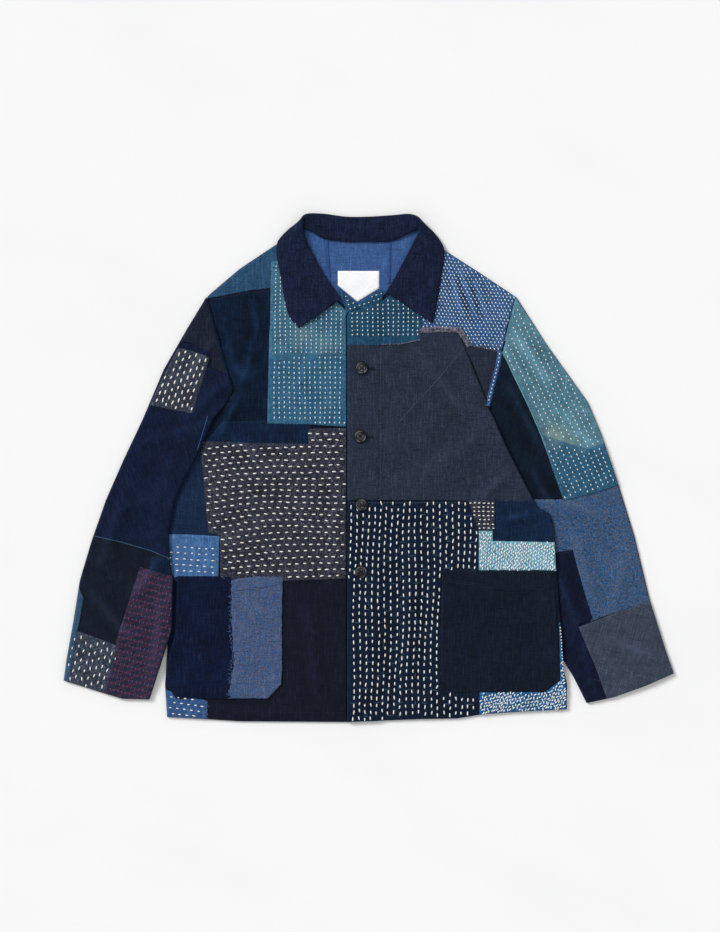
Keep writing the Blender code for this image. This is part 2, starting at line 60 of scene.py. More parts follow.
@dataclass(frozen=True)
class Cut:
    """Driving sizes and edge lines of the jacket, the same as in its solids."""

    wall: float = 2.0
    seam: float = 0.3
    patch: float = 0.8
    lining_wall: float = 1.2
    label_wall: float = 1.0
    facing_wall: float = 1.2
    pocket_wall: float = 1.6
    pocket_gap: float = 0.6
    sleeve_height: float = 4.6
    sleeve_wall: float = 1.6
    collar_wall: float = 2.0
    collar_roll: float = 1.6
    ramp: float = 30.0
    climb: float = 5.0
    placket_edge: float = -31.0
    underlap_edge: float = 7.5
    edge_round: float = 3.0
    hem_start: float = -245.0
    # Side edges of the body, top to bottom: y, x
    body_left: tuple = (
        (319, -129), (283, -183), (243, -230), (108, -192), (90, -202), (57, -234),
        (26, -252), (-17, -272), (-52, -285), (-88, -288), (-130, -288), (-187, -286),
        (-244, -285), (-309, -289), (-356, -286),
    )
    body_right: tuple = (
        (319, 92), (311, 105), (277, 158), (243, 209), (88, 169), (68, 179), (33, 194),
        (13, 204), (-55, 239), (-64, 257), (-88, 263), (-130, 265), (-188, 269),
        (-238, 273), (-289, 276), (-315, 281), (-356, 281),
    )
    # Hem: x, y
    hem: tuple = (
        (-286, -353), (-230, -356), (-183, -359), (-31, -360), (73, -356), (125, -355),
        (162, -349), (222, -345), (281, -342),
    )
    # Neck and centre edges of the fronts: y, x
    right_neck: tuple = (
        (319, -98), (300, -88), (283, -79), (262, -64), (243, -51), (225, -33),
        (206, -8), (196, 7.5), (-356, 7.5),
    )
    left_neck: tuple = (
        (319, 74), (300, 62), (283, 53), (262, 40), (243, 27), (231, 0), (222, -28),
        (217, -31), (-356, -31),
    )
    fold_line: tuple = ((134, 178), (148, 143), (171, 87), (194, 33), (204, 13), (239, -55))
    # Sleeve edges from the shoulder down: x, y
    sleeve_right_outer: tuple = (
        (-230, 243), (-259, 196), (-291, 140), (-321, 69), (-348, 12), (-373, -45),
        (-393, -102), (-410, -159), (-419, -216), (-429, -272), (-433, -301),
    )
    sleeve_right_inner: tuple = (
        (-192, 108), (-201, 92), (-221, 69), (-239, 26), (-259, -10), (-275, -45),
        (-283, -88), (-282, -130), (-277, -157), (-279, -230), (-287, -255), (-311, -328),
    )
    sleeve_right_cuff: tuple = ((-433, -301), (-376, -319), (-349, -327), (-311, -328))
    sleeve_left_outer: tuple = (
        (209, 243), (253, 175), (311, 94), (330, 49), (351, -12), (377, -96),
        (399, -187), (422, -260), (433, -291),
    )
    sleeve_left_inner: tuple = (
        (160, 92), (170, 69), (184, 33), (194, 9), (224, -55), (252, -109), (256, -187),
        (266, -244), (276, -272), (291, -297), (309, -333),
    )
    sleeve_left_cuff: tuple = ((433, -291), (392, -309), (347, -325), (309, -333))
    # Collar from its right-hand tip round the neck.
    # Columns: roll x, y, z; neck seam x, y, z; free edge x, y, z
    collar: tuple = (
        (-40, 239, 7.3, -52, 233, 5.7, -99, 198, 5.7),
        (-54, 260, 7.3, -71, 249, 5.7, -113, 216, 5.7),
        (-68, 281, 7.3, -86, 270, 5.7, -120, 242, 5.7),
        (-79, 302, 7.4, -97, 291, 5.7, -125, 272, 5.7),
        (-88, 321, 8.0, -101, 313, 5.7, -130, 300, 5.8),
        (-93, 337, 11.0, -99, 327, 5.6, -129, 321, 5.9),
        (-94, 350, 14.0, -91, 338, 5.5, -111, 340, 4.0),
        (-88, 359, 11.0, -80, 335, 5.3, -95, 342, 1.8),
        (-65, 360, 5.0, -62, 325, 5.0, -67, 333, 1.4),
        (-32, 356, 3.3, -32, 321, 4.9, -32, 330, 1.3),
        (-1, 356, 3.3, -2, 321, 4.9, -2, 330, 1.3),
        (33, 358, 3.5, 32, 322, 4.9, 32, 331, 1.3),
        (60, 359, 9.0, 58, 333, 5.2, 65, 339, 1.6),
        (73, 349, 13.5, 71, 338, 5.5, 88, 337, 3.6),
        (69, 330, 9.5, 78, 324, 5.7, 105, 316, 5.9),
        (59, 310, 7.6, 74, 301, 5.7, 107, 297, 5.7),
        (47, 287, 7.3, 64, 279, 5.7, 103, 272, 5.7),
        (36, 267, 7.3, 52, 256, 5.7, 98, 239, 5.7),
        (25, 249, 7.3, 36, 241, 5.7, 91, 205, 5.7),
    )
    lining: tuple = (
        (343, -92, 74), (334, -96, 76), (318, -96, 72), (300, -85, 59), (283, -76, 50),
        (262, -60, 37), (247, -50, 24), (238, -43, 8), (231, -34, -10),
    )
    label: tuple = ((-44, 280), (15, 280), (15, 255), (-16, 236), (-44, 259))
    facing: tuple = (
        (-43, 256), (-16, 232), (19, 254), (20, 241), (13, 233), (3, 228), (-18, 225),
        (-31, 219), (-37, 238),
    )
    # Patch pockets: y, left x, right x
    pocket_right: tuple = (
        (-153, -272, -121), (-193, -273, -122), (-228, -273, -122), (-260, -282, -122),
        (-285, -287, -122), (-306, -287, -123), (-327, -273, -143),
    )
    pocket_left: tuple = (
        (-144, 103, 261), (-175, 103, 264), (-206, 102, 266), (-250, 102, 269),
        (-280, 101, 271), (-300, 103, 272), (-318, 121, 249),
    )
    buttons: tuple = ((-10.0, 142.0), (-12.0, 45.0), (-10.0, -52.0), (-11.0, -147.0))
    button_radius: float = 9.0
    button_height: float = 3.2

    @property
    def front_level(self) -> float:
        """Underside of a front above the back."""
        return self.wall + self.seam

    @property
    def front_top(self) -> float:
        """Top of a front where it lies on the back."""
        return self.front_level + self.wall

    @property
    def placket_top(self) -> float:
        """Top of the left front where it lies on the right one."""
        return self.front_top + self.seam + self.wall


CUT = Cut()


def ease(value: np.ndarray) -> np.ndarray:
    """Smooth step: 3t² - 2t³ of the value held between 0 and 1.

    Args:
        value: the place between 0 and 1.

    Returns:
        The eased value.
    """
    t = np.clip(value, 0.0, 1.0)
    return t * t * (3.0 - 2.0 * t)


def rounded(distance: np.ndarray, radius: float) -> np.ndarray:
    """Quarter circle: height share at a distance from an edge that is rolled down.

    Args:
        distance: distance from the edge.
        radius: reach of the roll.

    Returns:
        0 at the edge, 1 from the radius on.
    """
    t = 1.0 - np.clip(distance / radius, 0.0, 1.0)
    return np.sqrt(1.0 - t * t)


def edge_at(table: tuple, y: np.ndarray) -> np.ndarray:
    """x of a side edge at each y, by straight lines between the table's rows.

    Args:
        table: rows of y and x, from the top down.
        y: where to read it.

    Returns:
        The x values.
    """
    rows = np.array(table, float)[::-1]
    return np.interp(y, rows[:, 0], rows[:, 1])


def line_at(points: tuple, y: np.ndarray) -> np.ndarray:
    """x of a line of x, y points that runs down, at each y."""
    return edge_at(tuple((row[1], row[0]) for row in points), y)


def side_of(x: np.ndarray, y: np.ndarray, line: tuple) -> np.ndarray:
    """Signed distance to a line of points: the nearest segment's distance, with its side.

    Args:
        x: plan x.
        y: plan y.
        line: x, y points from the top down.

    Returns:
        Distance, positive on the +X side.
    """
    points = np.array(line, float)
    nearest = np.full(np.shape(x), np.inf)
    signed = np.zeros(np.shape(x))
    for start, end in zip(points[:-1], points[1:]):
        step = end - start
        along = ((x - start[0]) * step[0] + (y - start[1]) * step[1]) / (step @ step)
        along = np.clip(along, 0.0, 1.0)
        distance = np.hypot(x - start[0] - along * step[0], y - start[1] - along * step[1])
        side = np.sign(step[0] * (y - start[1]) - step[1] * (x - start[0]))
        closer = distance < nearest
        nearest = np.where(closer, distance, nearest)
        signed = np.where(closer, distance * side, signed)
    return signed


def swell(x: np.ndarray, y: np.ndarray, length: float, seed: int) -> np.ndarray:
    """Soft random hills: the mean of eight sine waves in spread directions.

    Args:
        x: plan x.
        y: plan y.
        length: wave length.
        seed: picks the directions and phases.

    Returns:
        Heights from about -1 to 1.
    """
    rng = np.random.default_rng(seed)
    total = np.zeros(np.shape(x))
    for _ in range(8):
        angle, phase = rng.uniform(0.0, 2.0 * np.pi, 2)
        wave = 2.0 * np.pi / (length * rng.uniform(0.7, 1.5))
        total = total + np.sin(wave * (x * np.cos(angle) + y * np.sin(angle)) + phase)
    return total / 3.0


@dataclass(frozen=True)
class Crease:
    """One soft fold in the cloth, from start to end, with its height and half width."""

    start: tuple[float, float]
    end: tuple[float, float]
    height: float
    width: float

    def lift(self, x: np.ndarray, y: np.ndarray) -> np.ndarray:
        """Height added by the fold: a bell across it, and half a sine along it.

        Args:
            x: plan x.
            y: plan y.

        Returns:
            The added heights.
        """
        step = np.array(self.end, float) - np.array(self.start, float)
        share = ((x - self.start[0]) * step[0] + (y - self.start[1]) * step[1]) / (step @ step)
        held = np.clip(share, 0.0, 1.0)
        away_x = x - self.start[0] - held * step[0]
        away_y = y - self.start[1] - held * step[1]
        across = (away_x**2 + away_y**2) / (0.88 * self.width) ** 2
        return self.height * np.exp(-across) * np.sin(np.pi * np.clip(share, 0.02, 0.98)) ** 0.6

    def shade(self, x: np.ndarray, y: np.ndarray) -> np.ndarray:
        """Above 0 on the fold's ridge and below 0 in the hollows beside it."""
        wide = replace(self, width=2.1 * self.width)
        return (self.lift(x, y) - 0.62 * wide.lift(x, y)) / 0.8


RIGHT_FRONT_CREASES = (
    Crease((-206, 205), (-186, 118), 1.5, 7.0),
    Crease((-168, 252), (-158, 186), 1.6, 6.0),
    Crease((-156, 216), (-182, 118), 1.7, 7.0),
    Crease((-182, 106), (-214, 44), 2.0, 8.0),
    Crease((-206, 60), (-120, -20), 1.2, 14.0),
    Crease((-60, 190), (-120, 90), 0.9, 16.0),
    Crease((-200, -20), (-70, 20), 1.0, 16.0),
    Crease((-240, -120), (-110, -60), 1.1, 18.0),
    Crease((-90, -190), (-70, -350), 1.2, 12.0),
    Crease((-50, -40), (-60, -200), 0.8, 12.0),
    Crease((-250, -335), (-120, -348), 0.9, 7.0),
)
LEFT_FRONT_CREASES = (
    Crease((112, 290), (135, 210), 1.7, 5.0),
    Crease((130, 280), (152, 215), 1.8, 5.0),
    Crease((152, 262), (170, 205), 1.4, 5.0),
    Crease((60, 176), (150, 60), 1.4, 10.0),
    Crease((170, 60), (60, -20), 1.3, 16.0),
    Crease((205, 0), (150, -50), 1.8, 9.0),
    Crease((238, -64), (180, -74), 1.5, 6.0),
    Crease((30, 60), (36, -40), 0.7, 10.0),
    Crease((60, -80), (45, -350), 1.2, 14.0),
    Crease((90, -120), (84, -340), 0.8, 10.0),
    Crease((10, -200), (20, -350), 0.8, 9.0),
    Crease((120, -335), (260, -328), 0.9, 7.0),
)
RIGHT_SLEEVE_CREASES = (
    Crease((-215, 190), (-262, 120), 1.8, 9.0),
    Crease((-195, 130), (-270, 60), 2.2, 10.0),
    Crease((-225, 60), (-330, 40), 1.6, 12.0),
    Crease((-240, 20), (-300, -80), 2.4, 11.0),
    Crease((-270, -30), (-360, -60), 1.5, 12.0),
    Crease((-340, -20), (-385, -150), 1.6, 12.0),
    Crease((-285, -110), (-340, -190), 1.9, 11.0),
    Crease((-400, -170), (-330, -250), 1.6, 12.0),
    Crease((-290, -180), (-310, -300), 1.3, 9.0),
    Crease((-420, -270), (-340, -300), 1.0, 9.0),
)
LEFT_SLEEVE_CREASES = (
    Crease((200, 200), (262, 110), 1.8, 10.0),
    Crease((196, 120), (250, 20), 2.2, 9.0),
    Crease((260, 90), (330, 20), 1.5, 12.0),
    Crease((225, 10), (262, -60), 2.0, 9.0),
    Crease((250, -40), (345, -70), 1.5, 12.0),
    Crease((285, -70), (320, -200), 1.8, 12.0),
    Crease((370, -100), (340, -220), 1.4, 12.0),
    Crease((262, -140), (300, -230), 1.8, 9.0),
    Crease((300, -240), (320, -320), 1.2, 8.0),
    Crease((330, -240), (420, -270), 1.1, 10.0),
)


def folds(creases: tuple[Crease, ...], x: np.ndarray, y: np.ndarray) -> np.ndarray:
    """Sum of the heights of several folds."""
    total = np.zeros(np.shape(x))
    for crease in creases:
        total = total + 1.9 * crease.lift(x, y)
    return total


class Lie:
    """How the panels lie: the height of each one's top surface, without patches."""

    @staticmethod
    def back_under(x: np.ndarray, y: np.ndarray) -> np.ndarray:
        """Underside of the back: the floor, climbing onto the left sleeve by a smooth step."""
        over = ease((side_of(x, y, CUT.sleeve_left_inner) + CUT.ramp) / CUT.ramp)
        return CUT.climb * over * ease((88.0 - y) / 28.0)

    @staticmethod
    def inside_body(x: np.ndarray, y: np.ndarray, left: tuple, right: tuple) -> np.ndarray:
        """Distance from the nearest of two side edges and the hem."""
        hem = np.array(CUT.hem, float)
        sides = np.minimum(x - edge_at(left, y), edge_at(right, y) - x)
        return np.minimum(sides, y - np.interp(x, hem[:, 0], hem[:, 1]))

    @staticmethod
    def bare_of_sleeve(x: np.ndarray, y: np.ndarray) -> np.ndarray:
        """0 under the right sleeve, rising to 1 just beside it."""
        return ease(side_of(x, y, CUT.sleeve_right_inner) / 9.0 + (y > 112.0))

    @staticmethod
    def bare_of_body(x: np.ndarray, y: np.ndarray) -> np.ndarray:
        """0 where the left sleeve runs below the body, rising to 1 just beside it."""
        return ease((x - edge_at(CUT.body_right, y)) / 7.0 + (y > 92.0))

    @staticmethod
    def front_right(x: np.ndarray, y: np.ndarray) -> np.ndarray:
        """Top of the right front's own cloth: level, edge roll, creases and soft hills."""
        inside = Lie.inside_body(x, y, CUT.body_left, CUT.right_neck)
        body = CUT.wall - CUT.patch
        loose = ease(inside / 25.0) * ease((CUT.placket_edge - 8.0 - x) / 30.0)
        loose = loose * Lie.bare_of_sleeve(x, y)
        relief = folds(RIGHT_FRONT_CREASES, x, y) + 0.5 * swell(x, y, 70.0, 3)
        roll = 0.3 + 0.7 * rounded(inside, CUT.edge_round)
        return CUT.front_level + body * roll + relief * loose

    @staticmethod
    def fold_rise(x: np.ndarray, y: np.ndarray) -> np.ndarray:
        """Rise of the left front towards its big fold: a slope, then a quarter-round edge."""
        outside = side_of(x, y, CUT.fold_line)
        slope = ease(1.0 + outside / 34.0)
        edge = rounded(np.maximum(-outside, 0.0), 3.0)
        ends = ease((180.0 - y) / 30.0) * ease((y + 30.0) / 90.0)
        return 4.6 * slope * edge * ends

    @staticmethod
    def left_base(x: np.ndarray, y: np.ndarray) -> np.ndarray:
        """Underside of the left front without its fold."""
        placket = 1.0 - ease((x - CUT.underlap_edge - 2.0) / 12.0)
        step = (CUT.wall + CUT.seam) * placket
        return Lie.back_under(x, y) + CUT.front_level + step

    @staticmethod
    def front_left(x: np.ndarray, y: np.ndarray) -> np.ndarray:
        """Top of the left front's own cloth, with the fold's rise only inside its line."""
        inside = Lie.inside_body(x, y, CUT.left_neck, CUT.body_right)
        body = CUT.wall - CUT.patch
        loose = ease(inside / 25.0) * ease((x + 8.0) / 34.0)
        relief = folds(LEFT_FRONT_CREASES, x, y) + 0.5 * swell(x, y, 70.0, 5)
        roll = 0.3 + 0.7 * rounded(inside, CUT.edge_round)
        level = Lie.left_base(x, y) + body * roll + relief * loose
        wing = (side_of(x, y, CUT.fold_line) > 0.0) & (y > 60.0)
        return level + np.where(wing, 0.0, Lie.fold_rise(x, y))

    @staticmethod
    def sunk(top: Height, under: Height, inside: Height) -> Height:
        """A panel's own cloth: lower under its patches, away from the panel's edges."""

        def height(x: np.ndarray, y: np.ndarray) -> np.ndarray:
            level = top(x, y) - 0.4 * ease(inside(x, y) / 6.0 - 0.5)
            return np.maximum(level, under(x, y) + 0.3)

        return height

    @staticmethod
    def sleeve_under(x: np.ndarray, y: np.ndarray) -> np.ndarray:
        """Underside of the right sleeve: the floor, climbing onto the body."""
        hidden = tuple((edge, row) for row, edge in CUT.body_left[3:])
        over = ease((side_of(x, y, hidden) + CUT.ramp) / CUT.ramp)
        return CUT.climb * over * ease((94.0 - y) / 28.0)

    @staticmethod
    def sleeve_shape(
        inside: np.ndarray, under: np.ndarray, relief: np.ndarray, upper: bool
    ) -> np.ndarray:
        """Half of a flattened tube: half its height up or down by a rounded share.

        Args:
            inside: distance from the sleeve's edges.
            under: height of what it lies on.
            relief: creases of the upper side.
            upper: the upper side, or else the lower one.

        Returns:
            Heights of the surface.
        """
        half = 0.5 * (CUT.sleeve_height - CUT.patch)
        swing = half * rounded(inside, 4.0)
        if not upper:
            return under + half - swing
        return under + half + swing + relief * ease(inside / 22.0)

    @staticmethod
    def sleeve_right(x: np.ndarray, y: np.ndarray) -> np.ndarray:
        """Top of the right sleeve's own cloth."""
        inner = np.minimum(
            line_at(CUT.sleeve_right_inner, y), line_at(((-230, 243), (-192, 108)), y)
        )
        inner = np.where(y > 108, line_at(((-230, 243), (-192, 108)), y) + 30.0, inner)
        inside = 0.9 * np.minimum(x - line_at(CUT.sleeve_right_outer, y), inner - x)
        relief = folds(RIGHT_SLEEVE_CREASES, x, y) + 0.6 * swell(x, y, 60.0, 7)
        return Lie.sleeve_shape(inside, Lie.sleeve_under(x, y), relief, True)

    @staticmethod
    def sleeve_left(x: np.ndarray, y: np.ndarray) -> np.ndarray:
        """Top of the left sleeve's own cloth."""
        inner = line_at(CUT.sleeve_left_inner, y)
        inner = np.where(y > 88, line_at(((209, 243), (169, 88)), y) - 30.0, inner)
        inside = 0.9 * np.minimum(line_at(CUT.sleeve_left_outer, y) - x, x - inner)
        relief = folds(LEFT_SLEEVE_CREASES, x, y) + 0.6 * swell(x, y, 60.0, 9)
        relief = relief * Lie.bare_of_body(x, y)
        return Lie.sleeve_shape(inside, np.zeros(np.shape(x)), relief, True)

    @staticmethod
    def pocket_right(x: np.ndarray, y: np.ndarray) -> np.ndarray:
        """Top of the right pocket's own cloth, above the front with its own soft hills."""
        front = Lie.front_right(x, y) + CUT.patch + CUT.seam
        return front + CUT.pocket_wall - CUT.patch + 0.4 * swell(x, y, 45.0, 11)

    @staticmethod
    def pocket_left(x: np.ndarray, y: np.ndarray) -> np.ndarray:
        """Top of the left pocket's own cloth."""
        front = Lie.front_left(x, y) + CUT.patch + CUT.seam
        return front + CUT.pocket_wall - CUT.patch + 0.4 * swell(x, y, 45.0, 12)

    @staticmethod
    def lining(x: np.ndarray, y: np.ndarray) -> np.ndarray:
        """Top of the blue inner back."""
        level = CUT.wall + CUT.seam + CUT.lining_wall
        return level + 0.25 * swell(x, y, 30.0, 13) * np.ones(np.shape(x))

    @staticmethod
    def facing(x: np.ndarray, y: np.ndarray) -> np.ndarray:
        """Plane that the turned neck edge lies on."""
        return np.full(np.shape(x), CUT.placket_top + 0.2)


def inner_limit_right(y: np.ndarray) -> np.ndarray:
    """Inner edge of the right sleeve: the armhole line, then the sleeve's own edge."""
    seam = line_at(((-230, 243), (-192, 108)), y) - 0.8
    return np.where(y > 108, seam, line_at(CUT.sleeve_right_inner, y))


def inner_limit_left(y: np.ndarray) -> np.ndarray:
    """Inner edge of the left sleeve: the armhole line, then the sleeve's own edge."""
    seam = line_at(((209, 243), (169, 88)), y) + 0.8
    return np.where(y > 88, seam, line_at(CUT.sleeve_left_inner, y))


class Host(Enum):
    """Panel that a patch is sewn to: its node, its surface and its edges."""

    FRONT_RIGHT = "front_right"
    FRONT_LEFT = "front_left"
    SLEEVE_RIGHT = "sleeve_right"
    SLEEVE_LEFT = "sleeve_left"
    POCKET_RIGHT = "pocket_right"
    POCKET_LEFT = "pocket_left"
    LINING = "back_lining"
    FACING = "neck_facing"

    @property
    def top(self) -> Height:
        """Height function of the panel's own cloth."""
        return {
            Host.FRONT_RIGHT: Lie.front_right,
            Host.FRONT_LEFT: Lie.front_left,
            Host.SLEEVE_RIGHT: Lie.sleeve_right,
            Host.SLEEVE_LEFT: Lie.sleeve_left,
            Host.POCKET_RIGHT: Lie.pocket_right,
            Host.POCKET_LEFT: Lie.pocket_left,
            Host.LINING: Lie.lining,
            Host.FACING: Lie.facing,
        }[self]

    def fullness(self, x: np.ndarray, y: np.ndarray) -> np.ndarray:
        """Share of a patch's thickness: a quarter where another panel presses on it."""
        if self is Host.FRONT_RIGHT:
            return 0.25 + 0.75 * Lie.bare_of_sleeve(x, y)
        if self is Host.SLEEVE_LEFT:
            return 0.25 + 0.75 * Lie.bare_of_body(x, y)
        return np.ones(np.shape(x))

    def pucker(self, x: np.ndarray, y: np.ndarray) -> np.ndarray:
        """Small hills that hand stitching draws up, the same in every layer on the panel."""
        size = 0.06 if self in (Host.LINING, Host.FACING) else 0.24
        return size * swell(x, y, 9.0, sum(map(ord, self.value))) * self.fullness(x, y)

    def wear_and_shade(self, x: np.ndarray, y: np.ndarray) -> np.ndarray:
        """Above 0 on fold ridges, painted pale for rubbed wear and painted light; below 0 in the hollows
        beside them, for painted shade; with soft random mottling.
        """
        creases = {
            Host.FRONT_RIGHT: RIGHT_FRONT_CREASES,
            Host.FRONT_LEFT: LEFT_FRONT_CREASES,
            Host.SLEEVE_RIGHT: RIGHT_SLEEVE_CREASES,
            Host.SLEEVE_LEFT: LEFT_SLEEVE_CREASES,
        }.get(self, ())
        seed = len(self.value)
        total = 0.16 * swell(x, y, 40.0, seed) + 0.2 * swell(x, y, 13.0, seed + 1)
        for crease in creases:
            total = total + crease.shade(x, y)
        return total

    def held_in(self, points: np.ndarray, margin: float = 0.4) -> np.ndarray:
        """Move points that lie past the panel's edges onto them.

        Args:
            points: plan points, one per row.
            margin: how far inside the edge they stay.

        Returns:
            The points, held inside.
        """
        x, y = points[:, 0].copy(), points[:, 1].copy()
        hem = np.array(CUT.hem, float)
        if self in (Host.FRONT_RIGHT, Host.FRONT_LEFT):
            y = np.maximum(y, np.interp(x, hem[:, 0], hem[:, 1]) + margin)
        if self is Host.FRONT_RIGHT:
            right = np.where(y < 219.0, CUT.placket_edge - 0.5, edge_at(CUT.right_neck, y))
            x = np.clip(x, edge_at(CUT.body_left, y) + margin, right - 0.1)
        elif self is Host.FRONT_LEFT:
            left = edge_at(CUT.left_neck, y) + margin
            x = np.clip(x, left, edge_at(CUT.body_right, y) - margin)
        elif self is Host.SLEEVE_RIGHT:
            low = line_at(CUT.sleeve_right_outer, y) + margin
            x = np.clip(x, low, inner_limit_right(y) - margin)
            cuff = np.array(CUT.sleeve_right_cuff, float)
            y = np.maximum(y, np.interp(x, cuff[:, 0], cuff[:, 1]) + margin)
        elif self is Host.SLEEVE_LEFT:
            high = line_at(CUT.sleeve_left_outer, y) - margin
            below = np.where(y < 88.0, edge_at(CUT.body_right, y) - 12.0, -np.inf)
            x = np.clip(x, np.maximum(inner_limit_left(y) + margin, below), high)
            cuff = np.array(CUT.sleeve_left_cuff, float)[::-1]
            y = np.maximum(y, np.interp(x, cuff[:, 0], cuff[:, 1]) + margin)
        elif self in (Host.POCKET_RIGHT, Host.POCKET_LEFT):
            table = CUT.pocket_right if self is Host.POCKET_RIGHT else CUT.pocket_left
            rows = np.array(table, float)[::-1]
            y = np.clip(y, rows[0, 0] + margin, rows[-1, 0] - 0.0)
            low = np.interp(y, rows[:, 0], rows[:, 1]) + margin
            x = np.clip(x, low, np.interp(y, rows[:, 0], rows[:, 2]) - margin)
        return np.stack([x, y], axis=1)


def fill_mesh(name: str, points: np.ndarray, faces: list[np.ndarray]) -> bpy.types.Mesh:
    """Fill a mesh from arrays.

    Args:
        name: the mesh's name.
        points: one x, y, z row per vertex, in millimetres.
        faces: arrays of vertex numbers, with three or four columns each.

    Returns:
        The mesh, smooth, with its faces turned outwards.
    """
    mesh = bpy.data.meshes.new(name)
    mesh.vertices.add(len(points))
    mesh.vertices.foreach_set("co", (np.asarray(points, float) * MM).ravel())
    loops = np.concatenate([part.ravel() for part in faces]).astype(np.int32)
    sizes = np.concatenate([np.full(len(part), part.shape[1]) for part in faces])
    starts = np.concatenate([[0], np.cumsum(sizes)[:-1]]).astype(np.int32)
    mesh.loops.add(len(loops))
    mesh.loops.foreach_set("vertex_index", loops)
    mesh.polygons.add(len(sizes))
    mesh.polygons.foreach_set("loop_start", starts)
    mesh.update(calc_edges=True)
    mesh.validate()
    edit = bmesh.new()
    edit.from_mesh(mesh)
    bmesh.ops.recalc_face_normals(edit, faces=edit.faces)
    edit.to_mesh(mesh)
    edit.free()
    mesh.shade_smooth()
    return mesh


def add_piece(
    name: str, mesh: bpy.types.Mesh, material: bpy.types.Material
) -> bpy.types.Object:
    """Put a mesh in the scene as a piece of the jacket.

    Args:
        name: the piece's name.
        mesh: its mesh.
        material: its finish.

    Returns:
        The new object.
    """
    mesh.materials.append(material)
    piece = bpy.data.objects.new(name, mesh)
    bpy.context.scene.collection.objects.link(piece)
    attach(piece, "root")
    return piece


def grid_quads(rows: int, columns: int, first: int = 0, wrapped: bool = False) -> np.ndarray:
    """Quads of a grid of vertices numbered row by row.

    Args:
        rows: number of rows.
        columns: number of columns.
        first: number of the first vertex.
        wrapped: join the last column to the first.

    Returns:
        One row of four vertex numbers per quad.
    """
    i, j = np.meshgrid(np.arange(rows - 1), np.arange(columns - (not wrapped)), indexing="ij")
    nxt = (j + 1) % columns
    corners = [i * columns + j, i * columns + nxt, (i + 1) * columns + nxt, (i + 1) * columns + j]
    return first + np.stack([c.ravel() for c in corners], axis=1)


def border(rows: int, columns: int) -> np.ndarray:
    """Vertex numbers round the border of a grid, back to the first."""
    grid = np.arange(rows * columns).reshape(rows, columns)
    return np.concatenate([grid[0, :-1], grid[:-1, -1], grid[-1, :0:-1], grid[::-1, 0]])


def shell_mesh(name: str, upper: np.ndarray, lower: np.ndarray) -> bpy.types.Mesh:
    """Closed sheet between two grids of points with the same rows and columns."""
    rows, columns = upper.shape[:2]
    count = rows * columns
    rim = border(rows, columns)
    side = np.stack([rim[:-1], rim[1:], rim[1:] + count, rim[:-1] + count], axis=1)
    faces = [grid_quads(rows, columns), grid_quads(rows, columns, count)[:, ::-1], side]
    return fill_mesh(name, np.concatenate([upper.reshape(-1, 3), lower.reshape(-1, 3)]), faces)


def layer(x: np.ndarray, y: np.ndarray, z: np.ndarray) -> np.ndarray:
    """Grid of points from plan grids and heights."""
    return np.stack([x, y, np.broadcast_to(z, x.shape)], axis=-1)


